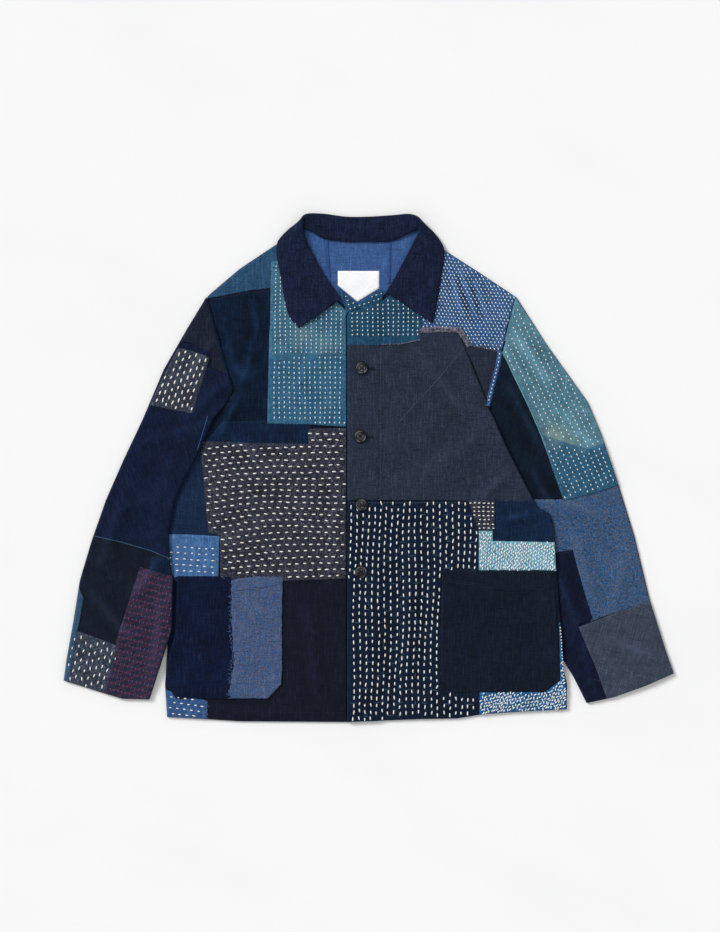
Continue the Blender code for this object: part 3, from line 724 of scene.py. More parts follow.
@dataclass(frozen=True)
class ClothFinish:
    """Worn cotton: two tones in blotches, slubbed threads, weave, specks, pale edges, and painted light and
    shade on folds.

    Colours are the values that the cloth shows, 0 to 255.
    """

    name: str
    tone: tuple[int, int, int]
    faded: tuple[int, int, int]
    blotch_mm: float = 45.0
    blotch: float = 0.6
    slub: float = 0.25
    speck: float = 0.05
    weave_mm: float = 0.9
    weave: float = 0.25
    edge: float = 0.25
    turn: float = 0.0
    stripe_mm: float = 0.0
    stripe: tuple[int, int, int] = (90, 60, 80)
    stains: tuple = ()
    # Strength of the fold colouring: pale ridges (rubbed wear and painted light) and painted shade in the
    # hollows beside them.
    wear_and_shade: float = 0.5
    fleck: float = 0.0

    @staticmethod
    def linear(colour: tuple[int, int, int]) -> tuple[float, float, float, float]:
        """Scene-linear value of a colour as the eye sees it."""
        share = np.array(colour, float) / 255.0
        value = np.where(share <= 0.04045, share / 12.92, ((share + 0.055) / 1.055) ** 2.4)
        return (*value.tolist(), 1.0)

    def build(self) -> bpy.types.Material:
        """Build the node material.

        Returns:
            The material.
        """
        material = bpy.data.materials.new(self.name)
        material.use_nodes = True
        make = NodeDesk(material)
        shader = material.node_tree.nodes["Principled BSDF"]
        place = make.coordinates(self.turn)
        tone = make.colour(self.linear(self.tone))
        faded = make.colour(self.linear(self.faded))
        blotches = make.noise(place, 1000.0 / self.blotch_mm, 4.0, (1, 1, 1), 0.6)
        share = make.ramp(blotches, 0.42 - 0.12 * self.blotch, 0.62)
        colour = make.mix(tone, faded, make.scaled(share, self.blotch))
        warp = make.noise(place, 1.0, 3.0, (560, 36, 1), 0.7)
        weft = make.noise(place, 1.0, 3.0, (36, 560, 1), 0.7)
        light = make.colour(self.linear(tuple(min(255, int(c * 1.35 + 12)) for c in self.faded)))
        dark = make.colour(self.linear(tuple(int(c * 0.62) for c in self.tone)))
        colour = make.mix(colour, light, make.scaled(make.ramp(warp, 0.5, 0.72), self.slub * 1.5))
        colour = make.mix(colour, dark, make.scaled(make.ramp(weft, 0.5, 0.74), self.slub * 2.1))
        grain = make.noise(place, 430.0, 3.0, (1, 1, 1), 0.75)
        colour = make.mix(colour, light, make.scaled(make.ramp(grain, 0.54, 0.7), self.speck * 5))
        colour = make.mix(colour, dark, make.scaled(make.ramp(grain, 0.47, 0.3), self.speck * 8))
        if self.fleck:
            pale = make.colour(self.linear((150, 148, 158)))
            colour = make.mix(colour, pale, make.scaled(make.ramp(grain, 0.6, 0.68), self.fleck))
        if self.stripe_mm:
            line = make.wave(place, self.stripe_mm, "Y")
            tint = make.colour(self.linear(self.stripe))
            colour = make.mix(colour, tint, make.scaled(make.ramp(line, 0.72, 0.95), 0.75))
        for x, y, reach, tint in self.stains:
            away = make.distance(make.coordinates(0.0), (x * MM, y * MM, 0.004))
            spread = make.ramp(away, reach * MM, 0.2 * reach * MM)
            spread = make.times(spread, make.ramp(blotches, 0.3, 0.6))
            colour = make.mix(colour, make.colour(self.linear(tint)), make.scaled(spread, 0.6))
        # Painted light and shade of the folds: ridges lighter (part rubbed wear, part painted light), the
        # hollows beside them darker (painted shade).
        rise = make.attribute("rise")
        colour = make.mix(colour, light, make.scaled(make.ramp(rise, 0.1, 1.5), self.wear_and_shade))
        colour = make.mix(colour, dark, make.scaled(make.ramp(rise, -0.1, -1.3), self.wear_and_shade * 1.5))
        # Pale worn rims of the patch: edge wear only, no painted light.
        rim = make.attribute("rim")
        wear_and_shade = make.scaled(make.times(rim, make.ramp(grain, 0.35, 0.65)), self.edge)
        colour = make.mix(colour, light, wear_and_shade)
        threads = make.times(make.wave(place, self.weave_mm, "X"), make.wave(place, self.weave_mm, "Y"))
        colour = make.mix(colour, dark, make.scaled(make.ramp(threads, 0.35, 0.0), self.weave))
        bump = make.add(make.scaled(threads, 0.5), make.add(warp, weft))
        make.bump(shader, bump, 0.7, 0.0009)
        make.link(colour, shader.inputs["Base Color"])
        shader.inputs["Roughness"].default_value = 0.95
        shader.inputs["Specular IOR Level"].default_value = 0.08
        shader.inputs["Sheen Weight"].default_value = 0.02
        shader.inputs["Sheen Roughness"].default_value = 0.5
        return material


class NodeDesk:
    """Short names for the shader nodes that the finishes share."""

    def __init__(self, material: bpy.types.Material) -> None:
        """Keep the material's node tree."""
        self.tree = material.node_tree

    def node(self, kind: str) -> bpy.types.Node:
        """A new node."""
        return self.tree.nodes.new(kind)

    def link(self, output: bpy.types.NodeSocket, socket: bpy.types.NodeSocket) -> None:
        """Join two sockets."""
        self.tree.links.new(output, socket)

    def coordinates(self, turn: float) -> bpy.types.NodeSocket:
        """Object coordinates, turned about Z by an angle in degrees."""
        source = self.node("ShaderNodeTexCoord")
        mapping = self.node("ShaderNodeMapping")
        mapping.inputs["Rotation"].default_value = (0.0, 0.0, np.radians(turn))
        self.link(source.outputs["Object"], mapping.inputs["Vector"])
        return mapping.outputs["Vector"]

    def colour(self, value: tuple) -> bpy.types.NodeSocket:
        """A fixed colour."""
        node = self.node("ShaderNodeRGB")
        node.outputs[0].default_value = value
        return node.outputs[0]

    def noise(
        self, place: bpy.types.NodeSocket, scale: float, detail: float, stretch: tuple, rough: float
    ) -> bpy.types.NodeSocket:
        """Noise at a scale, with its axes stretched."""
        mapping = self.node("ShaderNodeMapping")
        mapping.inputs["Scale"].default_value = stretch
        self.link(place, mapping.inputs["Vector"])
        node = self.node("ShaderNodeTexNoise")
        node.inputs["Scale"].default_value = scale
        node.inputs["Detail"].default_value = detail
        node.inputs["Roughness"].default_value = rough
        self.link(mapping.outputs["Vector"], node.inputs["Vector"])
        return node.outputs["Fac"]

    def wave(self, place: bpy.types.NodeSocket, pitch: float, axis: str) -> bpy.types.NodeSocket:
        """Parallel bands with a pitch in millimetres, slightly uneven."""
        node = self.node("ShaderNodeTexWave")
        node.bands_direction = axis
        # One band of the wave texture is 2 pi / 20 of a scale unit.
        node.inputs["Scale"].default_value = 2.0 * np.pi / 20.0 * 1000.0 / pitch
        node.inputs["Distortion"].default_value = 0.6
        node.inputs["Detail"].default_value = 1.0
        node.inputs["Detail Scale"].default_value = 0.3
        self.link(place, node.inputs["Vector"])
        return node.outputs["Fac"]

    def ramp(self, value: bpy.types.NodeSocket, low: float, high: float) -> bpy.types.NodeSocket:
        """A value spread from 0 at low to 1 at high, held between them."""
        node = self.node("ShaderNodeMapRange")
        node.inputs["From Min"].default_value = low
        node.inputs["From Max"].default_value = high
        node.clamp = True
        self.link(value, node.inputs["Value"])
        return node.outputs["Result"]

    def math(self, operation: str, first: bpy.types.NodeSocket, second) -> bpy.types.NodeSocket:
        """A math node on a socket and a socket or number."""
        node = self.node("ShaderNodeMath")
        node.operation = operation
        self.link(first, node.inputs[0])
        if isinstance(second, (int, float)):
            node.inputs[1].default_value = second
        else:
            self.link(second, node.inputs[1])
        return node.outputs[0]

    def distance(self, place: bpy.types.NodeSocket, point: tuple) -> bpy.types.NodeSocket:
        """Distance from a point."""
        node = self.node("ShaderNodeVectorMath")
        node.operation = "DISTANCE"
        node.inputs[1].default_value = point
        self.link(place, node.inputs[0])
        return node.outputs["Value"]

    def scaled(self, value: bpy.types.NodeSocket, share: float) -> bpy.types.NodeSocket:
        """A value times a number."""
        return self.math("MULTIPLY", value, float(share))

    def times(self, first: bpy.types.NodeSocket, second: bpy.types.NodeSocket):
        """The product of two values."""
        return self.math("MULTIPLY", first, second)

    def add(self, first: bpy.types.NodeSocket, second: bpy.types.NodeSocket):
        """The sum of two values."""
        return self.math("ADD", first, second)

    def mix(
        self, first: bpy.types.NodeSocket, second: bpy.types.NodeSocket, share: bpy.types.NodeSocket
    ) -> bpy.types.NodeSocket:
        """Two colours mixed by a share."""
        node = self.node("ShaderNodeMix")
        node.data_type = "RGBA"
        node.clamp_factor = True
        self.link(share, node.inputs["Factor"])
        self.link(first, node.inputs[6])
        self.link(second, node.inputs[7])
        return node.outputs[2]

    def attribute(self, name: str) -> bpy.types.NodeSocket:
        """A value kept on the mesh's points."""
        node = self.node("ShaderNodeAttribute")
        node.attribute_name = name
        return node.outputs["Fac"]

    def bump(
        self, shader: bpy.types.Node, height: bpy.types.NodeSocket, strength: float, reach: float
    ) -> None:
        """Bump on a shader."""
        node = self.node("ShaderNodeBump")
        node.inputs["Strength"].default_value = strength
        node.inputs["Distance"].default_value = reach
        self.link(height, node.inputs["Height"])
        self.link(node.outputs["Normal"], shader.inputs["Normal"])


@dataclass(frozen=True)
class ThreadFinish:
    """Twisted cotton sewing thread in one colour, slightly uneven."""

    name: str
    tone: tuple[int, int, int]

    def build(self) -> bpy.types.Material:
        """Build the node material.

        Returns:
            The material.
        """
        material = bpy.data.materials.new(self.name)
        material.use_nodes = True
        make = NodeDesk(material)
        shader = material.node_tree.nodes["Principled BSDF"]
        place = make.coordinates(35.0)
        tone = make.colour(ClothFinish.linear(self.tone))
        dull = make.colour(ClothFinish.linear(tuple(int(c * 0.88) for c in self.tone)))
        patches = make.noise(place, 90.0, 2.0, (1, 1, 1), 0.5)
        twist = make.wave(place, 0.9, "X")
        colour = make.mix(tone, dull, make.scaled(make.ramp(patches, 0.4, 0.7), 0.8))
        colour = make.mix(colour, dull, make.scaled(make.ramp(twist, 0.5, 0.1), 0.4))
        make.bump(shader, twist, 0.5, 0.0003)
        make.link(colour, shader.inputs["Base Color"])
        shader.inputs["Roughness"].default_value = 0.85
        shader.inputs["Specular IOR Level"].default_value = 0.25
        return material


class Wardrobe:
    """Every finish of the jacket, each built once."""

    CLOTHS = (
        ClothFinish("back_navy", (30, 42, 66), (38, 54, 84)),
        ClothFinish("collar_navy", (17, 24, 46), (29, 39, 67), 14.0, 0.7, 0.4, 0.08, edge=0.1),
        ClothFinish("lining_blue", (58, 90, 144), (66, 98, 152), slub=0.35, weave_mm=1.2),
        ClothFinish("lining_seam", (46, 74, 128), (54, 84, 138), slub=0.3),
        ClothFinish("shoulder_teal", (36, 70, 102), (54, 90, 124), slub=0.35, edge=0.4),
        ClothFinish(
            "chest_navy", (9, 19, 36), (15, 35, 62), blotch=0.7, slub=0.35,
            stains=((-174, 135, 16, (34, 66, 104)), (-186, 142, 10, (30, 58, 96))),
        ),
        ClothFinish(
            "dotted_teal", (50, 96, 126), (74, 120, 144), blotch=0.9, slub=0.4, speck=0.1,
            stains=((-96, 192, 26, (112, 144, 146)), (-60, 178, 22, (98, 134, 146))),
        ),
        ClothFinish("dotted_teal_low", (46, 92, 125), (60, 108, 138), slub=0.35, speck=0.1),
        ClothFinish("strip_navy", (13, 27, 50), (20, 43, 73), slub=0.35),
        ClothFinish("heather_grey", (44, 47, 59), (58, 61, 75), slub=0.45, speck=0.27, fleck=0.6),
        ClothFinish("band_grey", (53, 58, 73), (68, 74, 90), slub=0.4, speck=0.2, fleck=0.3),
        ClothFinish("deep_teal_navy", (22, 38, 66), (28, 50, 80), slub=0.35),
        ClothFinish("sky_blue", (62, 100, 152), (80, 120, 170), slub=0.4, speck=0.08, edge=0.4),
        ClothFinish("coal_navy", (19, 21, 35), (25, 29, 46), slub=0.35),
        ClothFinish("hem_blue", (52, 86, 136), (66, 102, 150), slub=0.35),
        ClothFinish("pocket_navy", (10, 17, 40), (17, 30, 60), slub=0.4),
        ClothFinish("pocket_blue", (48, 94, 148), (86, 88, 108), 4.0, 0.9, 0.35, 0.14),
        ClothFinish("cap_charcoal", (25, 30, 44), (34, 42, 58), slub=0.35),
        ClothFinish("sleeve_navy", (15, 23, 47), (22, 35, 64), slub=0.34, turn=-18, wear_and_shade=0.22),
        ClothFinish("sleeve_black", (19, 25, 40), (26, 33, 49), slub=0.3, turn=-16),
        ClothFinish(
            "plum", (38, 40, 62), (54, 50, 74), slub=0.3, speck=0.12, turn=-16,
            stripe_mm=9.4, stripe=(84, 48, 70),
        ),
        ClothFinish(
            "cuff_speckle", (50, 57, 73), (72, 80, 95), slub=0.4, speck=0.22, turn=-14, fleck=0.35,
        ),
        ClothFinish("outer_strip", (50, 80, 108), (66, 98, 126), slub=0.3),
        ClothFinish("top_teal", (26, 64, 92), (42, 86, 114), slub=0.35, speck=0.1, edge=0.35),
        ClothFinish(
            "dotted_blue", (46, 84, 134), (66, 104, 150), slub=0.3, speck=0.1, turn=40, wear_and_shade=0.8,
        ),
        ClothFinish("chest_grey", (39, 46, 62), (47, 55, 74), 60.0, 0.6, 0.45, 0.08, wear_and_shade=0.28),
        # The chest grey cloth a little darker: painted shade on the wing beyond the big fold.
        ClothFinish("wing_grey_shaded", (37, 42, 58), (45, 51, 69), slub=0.4, wear_and_shade=0.3),
        ClothFinish("edge_cyan", (92, 146, 164), (122, 172, 184), slub=0.3),
        ClothFinish("frayed_lilac", (66, 66, 84), (104, 102, 118), slub=0.6, speck=0.3, edge=0.8),
        ClothFinish("ink_navy", (14, 25, 42), (20, 36, 60), slub=0.3, speck=0.07),
        ClothFinish("mid_navy", (15, 30, 54), (23, 45, 77), slub=0.35),
        ClothFinish("ice_blue", (100, 158, 186), (130, 178, 198), slub=0.3, speck=0.1),
        ClothFinish("river_blue", (30, 86, 136), (48, 104, 152), slub=0.3, speck=0.1),
        ClothFinish("pocket_black", (16, 23, 36), (22, 31, 47), slub=0.4),
        ClothFinish(
            "sleeve_teal", (74, 118, 138), (98, 142, 158), blotch=0.9, slub=0.35, turn=13,
            stains=((262, 46, 26, (168, 182, 168)), (285, 34, 18, (140, 166, 162))),
        ),
        ClothFinish(
            "sleeve_teal_low", (44, 88, 117), (60, 106, 136), slub=0.35, turn=13,
            stains=((258, 42, 24, (124, 156, 162)), (300, 30, 16, (104, 144, 158))),
        ),
        ClothFinish("underarm_navy", (12, 22, 36), (18, 34, 52), slub=0.3, turn=20),
        ClothFinish("dusk_blue", (24, 96, 156), (80, 84, 98), 4.0, 1.0, 0.3, 0.2, wear_and_shade=0.25),
        ClothFinish("inner_navy", (14, 19, 40), (22, 33, 61), slub=0.35, turn=16),
        ClothFinish("cuff_grey", (57, 65, 82), (68, 77, 96), slub=0.4, turn=16),
    )
    THREADS = (
        ThreadFinish("thread_white", (250, 248, 243)),
        ThreadFinish("thread_ice", (238, 246, 247)),
        ThreadFinish("thread_navy", (30, 38, 62)),
        ThreadFinish("thread_blue", (74, 104, 150)),
        ThreadFinish("thread_scratch", (66, 98, 124)),
        ThreadFinish("thread_red", (112, 48, 64)),
        ThreadFinish("thread_violet", (84, 88, 138)),
        ThreadFinish("thread_teal", (104, 156, 182)),
        ThreadFinish("thread_grey", (84, 92, 112)),
    )

    def __init__(self, plain: tuple) -> None:
        """Start with no finish built.

        Args:
            plain: the finishes that are neither cloth nor thread.
        """
        self._made: dict[str, bpy.types.Material] = {}
        self._known = {finish.name: finish for finish in self.CLOTHS + self.THREADS + plain}

    def get(self, name: str) -> bpy.types.Material:
        """The finish of that name, built at its first use."""
        if name not in self._made:
            self._made[name] = self._known[name].build()
        return self._made[name]


def stitch_mesh(name: str, starts: np.ndarray, ends: np.ndarray, width: float) -> bpy.types.Mesh:
    """Short raised bars of thread, one per pair of points.

    Each bar is a line with five stations: its ends sink into the cloth, and the three between
    rise by half the width in a shallow arch and carry a four-sided ring.

    Args:
        name: the mesh's name.
        starts: x, y, z of the starts on the cloth.
        ends: x, y, z of the ends.
        width: the thread's width.

    Returns:
        The mesh of all the bars.
    """
    count = len(starts)
    along = ends - starts
    length = np.linalg.norm(along[:, :2], axis=1, keepdims=True)
    across = np.stack([-along[:, 1], along[:, 0], np.zeros(count)], axis=1) / length
    up = np.array([0.0, 0.0, 1.0])
    rows = [starts - 0.25 * width * up]
    for share, size, lift in ((0.14, 0.72, 0.22), (0.5, 1.0, 0.36), (0.86, 0.72, 0.22)):
        middle = starts + share * along + lift * width * up
        half = 0.5 * width * size
        for side, rise in ((-1, 0.0), (0, 1.0), (1, 0.0), (0, -1.0)):
            rows.append(middle + side * half * across + rise * half * 0.8 * up)
    rows.append(ends - 0.25 * width * up)
    points = np.stack(rows, axis=1).reshape(-1, 3)
    tips, walls = [], []
    for k in range(4):
        n = (k + 1) % 4
        tips.append((0, 1 + n, 1 + k))
        tips.append((13, 9 + k, 9 + n))
        for ring in (1, 5):
            walls.append((ring + k, ring + n, ring + n + 4, ring + k + 4))
    shift = 14 * np.arange(count)[:, None, None]
    faces = [(np.array(part)[None] + shift).reshape(-1, len(part[0])) for part in (tips, walls)]
    return fill_mesh(name, points, faces)


def inside_outline(x: np.ndarray, y: np.ndarray, outline: np.ndarray) -> np.ndarray:
    """Whether points lie in an outline: an odd number of its edges cross a ray to +X."""
    ax, ay = outline[:, 0], outline[:, 1]
    bx, by = np.roll(ax, -1), np.roll(ay, -1)
    px, py = x[:, None], y[:, None]
    straddle = (ay > py) != (by > py)
    run = np.where(by == ay, 1.0, by - ay)
    cross = px < (bx - ax) * (py - ay) / run + ax
    return (straddle & cross).sum(axis=1) % 2 == 1


def edge_distance(x: np.ndarray, y: np.ndarray, outline: np.ndarray) -> np.ndarray:
    """Distance of points from the nearest edge of an outline."""
    a = outline
    step = np.roll(outline, -1, axis=0) - a
    px, py = x[:, None] - a[:, 0], y[:, None] - a[:, 1]
    square = np.maximum((step**2).sum(axis=1), 1e-9)
    share = np.clip((px * step[:, 0] + py * step[:, 1]) / square, 0.0, 1.0)
    return np.hypot(px - share * step[:, 0], py - share * step[:, 1]).min(axis=1)


def dense(outline: np.ndarray, step: float) -> np.ndarray:
    """An outline with a point at least every step."""
    parts = []
    for start, end in zip(outline, np.roll(outline, -1, axis=0)):
        count = max(1, int(np.ceil(np.hypot(*(end - start)) / step)))
        parts.append(start + (end - start) * (np.arange(count) / count)[:, None])
    return np.concatenate(parts)


@dataclass(frozen=True)
class Stitches:
    """Rows of hand stitches: their direction, spacing, size and unevenness."""

    thread: str = "thread_white"
    angle: float = 90.0
    row: float = 7.8
    pitch: float = 7.3
    length: float = 3.4
    width: float = 1.5
    stagger: float = 0.0
    wander: float = 0.5
    zigzag: float = 0.0
    droop: float = 0.0
    margin: float = 3.0
    clear: tuple = ()

    def lay(self, outline: np.ndarray, seed: int) -> tuple[np.ndarray, np.ndarray]:
        """Place the stitches inside an outline.

        Rows run along the angle, a row's spacing apart. Each stitch is moved a little along
        and across, turned a little, and left out where its middle is near the outline.

        Args:
            outline: x, y points of the patch.
            seed: picks the unevenness.

        Returns:
            Plan starts and plan ends.
        """
        rng = np.random.default_rng(seed)
        angle = np.radians(self.angle)
        along = np.array([np.cos(angle), np.sin(angle)])
        across = np.array([-along[1], along[0]])
        centre = outline.mean(axis=0)
        reach = np.abs(outline - centre).sum(axis=1).max() + 10.0
        rows = np.arange(-reach, reach, self.row)
        steps = np.arange(-reach, reach, self.pitch)
        row, step = np.meshgrid(rows, steps, indexing="ij")
        index = np.arange(len(rows))[:, None]
        step = step + self.pitch * self.stagger * (index % 2)
        step = step + rng.normal(0.0, 0.35 * self.wander, (len(rows), 1)) * self.pitch * 0.3
        step = step + rng.normal(0.0, 0.4 * self.wander, row.shape)
        row = row + rng.normal(0.0, 0.35 * self.wander, row.shape)
        row = row + self.wander * 1.6 * np.sin(step / 37.0 + index * 0.35)
        middle = centre + step[..., None] * along + row[..., None] * across
        if self.droop:
            fall = np.clip((outline[:, 0].mean() - middle[..., 0]) / 90.0, 0.0, 1.3)
            middle[..., 1] -= self.droop * fall**1.5
        swing = self.zigzag * np.where((index + np.arange(len(steps))[None]) % 2, 1.0, -1.0)
        turn = angle + np.radians(swing + rng.normal(0.0, 7.0 * self.wander, row.shape))
        half = 0.5 * self.length * rng.uniform(0.78, 1.15, row.shape)
        heading = np.stack([np.cos(turn), np.sin(turn)], axis=-1) * half[..., None]
        middle, heading = middle.reshape(-1, 2), heading.reshape(-1, 2)
        x, y = middle[:, 0], middle[:, 1]
        keep = inside_outline(x, y, outline) & (edge_distance(x, y, outline) > self.margin)
        for low_x, low_y, high_x, high_y in self.clear:
            keep &= ~((x > low_x) & (x < high_x) & (y > low_y) & (y < high_y))
        return (middle - heading)[keep], (middle + heading)[keep]


@dataclass(frozen=True)
class Patch:
    """One patch of the outer cloth: its outline on a panel, its finish and its stitches.

    The surface is the panel's height plus the patch's layer, and its rim rolls down to the
    layer below by a quarter circle. Layer 1 lies on the panel's own cloth.
    """

    name: str
    host: Host
    outline: tuple
    finish: str
    depth: int = 1
    stitches: tuple[Stitches, ...] = ()
    rim: float = 1.1
    ragged: float = 0.0
    step: float = 3.4
    slot: str = ""

    def outline_points(self) -> np.ndarray:
        """The outline, dense, held inside the panel and ragged where the cloth frays."""
        points = self.host.held_in(dense(np.array(self.outline, float), self.step))
        keep = np.hypot(*(points - np.roll(points, 1, axis=0)).T) > 0.25
        points = points[keep]
        if self.ragged:
            rng = np.random.default_rng(len(points))
            points = points + rng.normal(0.0, self.ragged, points.shape)
            points = self.host.held_in(points)
        return points

    def top(self, x: np.ndarray, y: np.ndarray) -> np.ndarray:
        """Height of the patch's face away from its rim."""
        rise = CUT.patch * self.depth * self.host.fullness(x, y)
        return self.host.top(x, y) + rise + self.host.pucker(x, y)

    def mesh(self, outline: np.ndarray) -> bpy.types.Mesh:
        """Closed thin shell over the outline, from a constrained triangulation of a lattice.

        Args:
            outline: the patch's outline.

        Returns:
            The mesh, with how near each point is to the rim kept on it.
        """
        low, high = outline.min(axis=0), outline.max(axis=0)
        ring = self.inner_ring(outline)
        gx, gy = np.meshgrid(
            np.arange(low[0], high[0], self.step), np.arange(low[1], high[1], self.step)
        )
        gx[1::2] += 0.5 * self.step
        gx, gy = gx.ravel(), gy.ravel()
        keep = inside_outline(gx, gy, outline)
        gx, gy = gx[keep], gy[keep]
        keep = edge_distance(gx, gy, outline) > self.rim + 0.4 * self.step
        lattice = np.stack([gx[keep], gy[keep]], axis=1)
        plan = np.concatenate([outline, ring, lattice])
        count = len(outline)
        edges = [(k, (k + 1) % count) for k in range(count)]
        made = delaunay_2d_cdt([Vector(p) for p in plan.tolist()], edges, [], 1, 1e-4)
        plan = np.array([tuple(p) for p in made[0]])
        triangles = np.array([list(face) for face in made[2] if len(face) == 3])
        distance = edge_distance(plan[:, 0], plan[:, 1], outline)
        x, y = plan[:, 0], plan[:, 1]
        below = CUT.patch * (self.depth - 1) * self.host.fullness(x, y)
        base = self.host.top(x, y) + below + self.host.pucker(x, y) - 0.15
        face = self.top(x, y)
        upper = base + (face - base) * rounded(distance, self.rim)
        on_rim = distance < 1e-3
        lower_index = np.where(on_rim, np.arange(len(x)), len(x) + np.arange(len(x)))
        points = np.concatenate([layer(x, y, upper), layer(x, y, np.minimum(base, upper - 0.02))])
        mesh = fill_mesh(self.name, points, [triangles, lower_index[triangles][:, ::-1]])
        rim = np.concatenate([1.0 - np.clip(distance / 3.0, 0.0, 1.0)] * 2)
        if len(mesh.vertices) == len(rim):
            mesh.attributes.new("rim", "FLOAT", "POINT").data.foreach_set("value", rim)
            # rise holds the panel's fold colouring: pale ridges (rubbed wear and painted light) and painted
            # shade in the hollows.
            rise = np.concatenate([self.host.wear_and_shade(x, y)] * 2)
            mesh.attributes.new("rise", "FLOAT", "POINT").data.foreach_set("value", rise)
        return mesh

    def inner_ring(self, outline: np.ndarray) -> np.ndarray:
        """Points just inside the outline, where the rim's roll ends."""
        before, after = np.roll(outline, 1, axis=0), np.roll(outline, -1, axis=0)
        tangent = after - before
        tangent /= np.maximum(np.linalg.norm(tangent, axis=1, keepdims=True), 1e-6)
        normal = np.stack([-tangent[:, 1], tangent[:, 0]], axis=1)
        x, y = outline.T
        turned = np.sum(x * np.roll(y, -1) - np.roll(x, -1) * y) < 0.0
        ring = outline + normal * self.rim * (-1.0 if turned else 1.0)
        keep = inside_outline(ring[:, 0], ring[:, 1], outline)
        keep &= edge_distance(ring[:, 0], ring[:, 1], outline) > 0.8 * self.rim
        return ring[keep]

    def build(self, wardrobe: Wardrobe) -> list[bpy.types.Object]:
        """Make the patch and its stitches.

        Args:
            wardrobe: the finishes.

        Returns:
            The new pieces.
        """
        outline = self.outline_points()
        slot = self.slot or SLOT_OF.get(self.host, f"{self.host.value}_cloth")
        piece = add_piece(self.name, self.mesh(outline), wardrobe.get(self.finish))
        pieces = [piece]
        for number, style in enumerate(self.stitches):
            starts, ends = style.lay(outline, sum(map(ord, self.name)) + number)
            if not len(starts):
                continue
            starts = layer(starts[:, 0], starts[:, 1], self.top(*starts.T))
            ends = layer(ends[:, 0], ends[:, 1], self.top(*ends.T))
            name = f"{self.name}_stitches_{number + 1}"
            mesh = stitch_mesh(name, starts, ends, style.width)
            pieces.append(add_piece(name, mesh, wardrobe.get(style.thread)))
        return pieces


SLOT_OF = {Host.LINING: "lining_cloth", Host.FACING: "facing_cloth"}

TEAL_DOTS = Stitches(thread="thread_ice", row=7.1, pitch=7.1, length=3.4, width=1.65)
GREY_DASHES = Stitches(
    angle=0.0, row=8.7, pitch=11.3, length=5.9, width=2.0, stagger=0.4, wander=0.9, droop=9.0,
    margin=2.6, clear=((-230, -165, -115, -149),),
)
INK_DASHES = Stitches(
    angle=89.0, row=8.5, pitch=9.9, length=6.2, width=1.95, stagger=0.14, wander=1.0, margin=2.4,
    clear=((101, -320, 290, -146),),
)
SCRATCHES = Stitches(
    thread="thread_scratch", angle=0.0, row=19.0, pitch=33.0, length=11.0, width=0.8,
    stagger=0.4, wander=0.9, margin=6.0,
)
UPRIGHT_SCRATCHES = Stitches(
    thread="thread_scratch", angle=90.0, row=23.0, pitch=39.0, length=9.0, width=0.8,
    stagger=0.4, wander=0.9, margin=6.0,
)
RICE = Stitches(
    thread="thread_ice", angle=84.0, row=3.3, pitch=5.5, length=5.2, width=1.9, stagger=0.5,
    wander=0.9, zigzag=24.0, margin=1.4, clear=((150, -165, 290, -145),),
)
SLEEVE_DASHES = Stitches(
    angle=70.0, row=7.6, pitch=11.4, length=6.6, width=2.2, stagger=0.5, wander=0.8, margin=2.4,
)
SLEEVE_DOTS = Stitches(
    thread="thread_ice", angle=115.0, row=8.1, pitch=6.8, length=3.3, width=1.6, wander=0.5,
    margin=3.4,
)

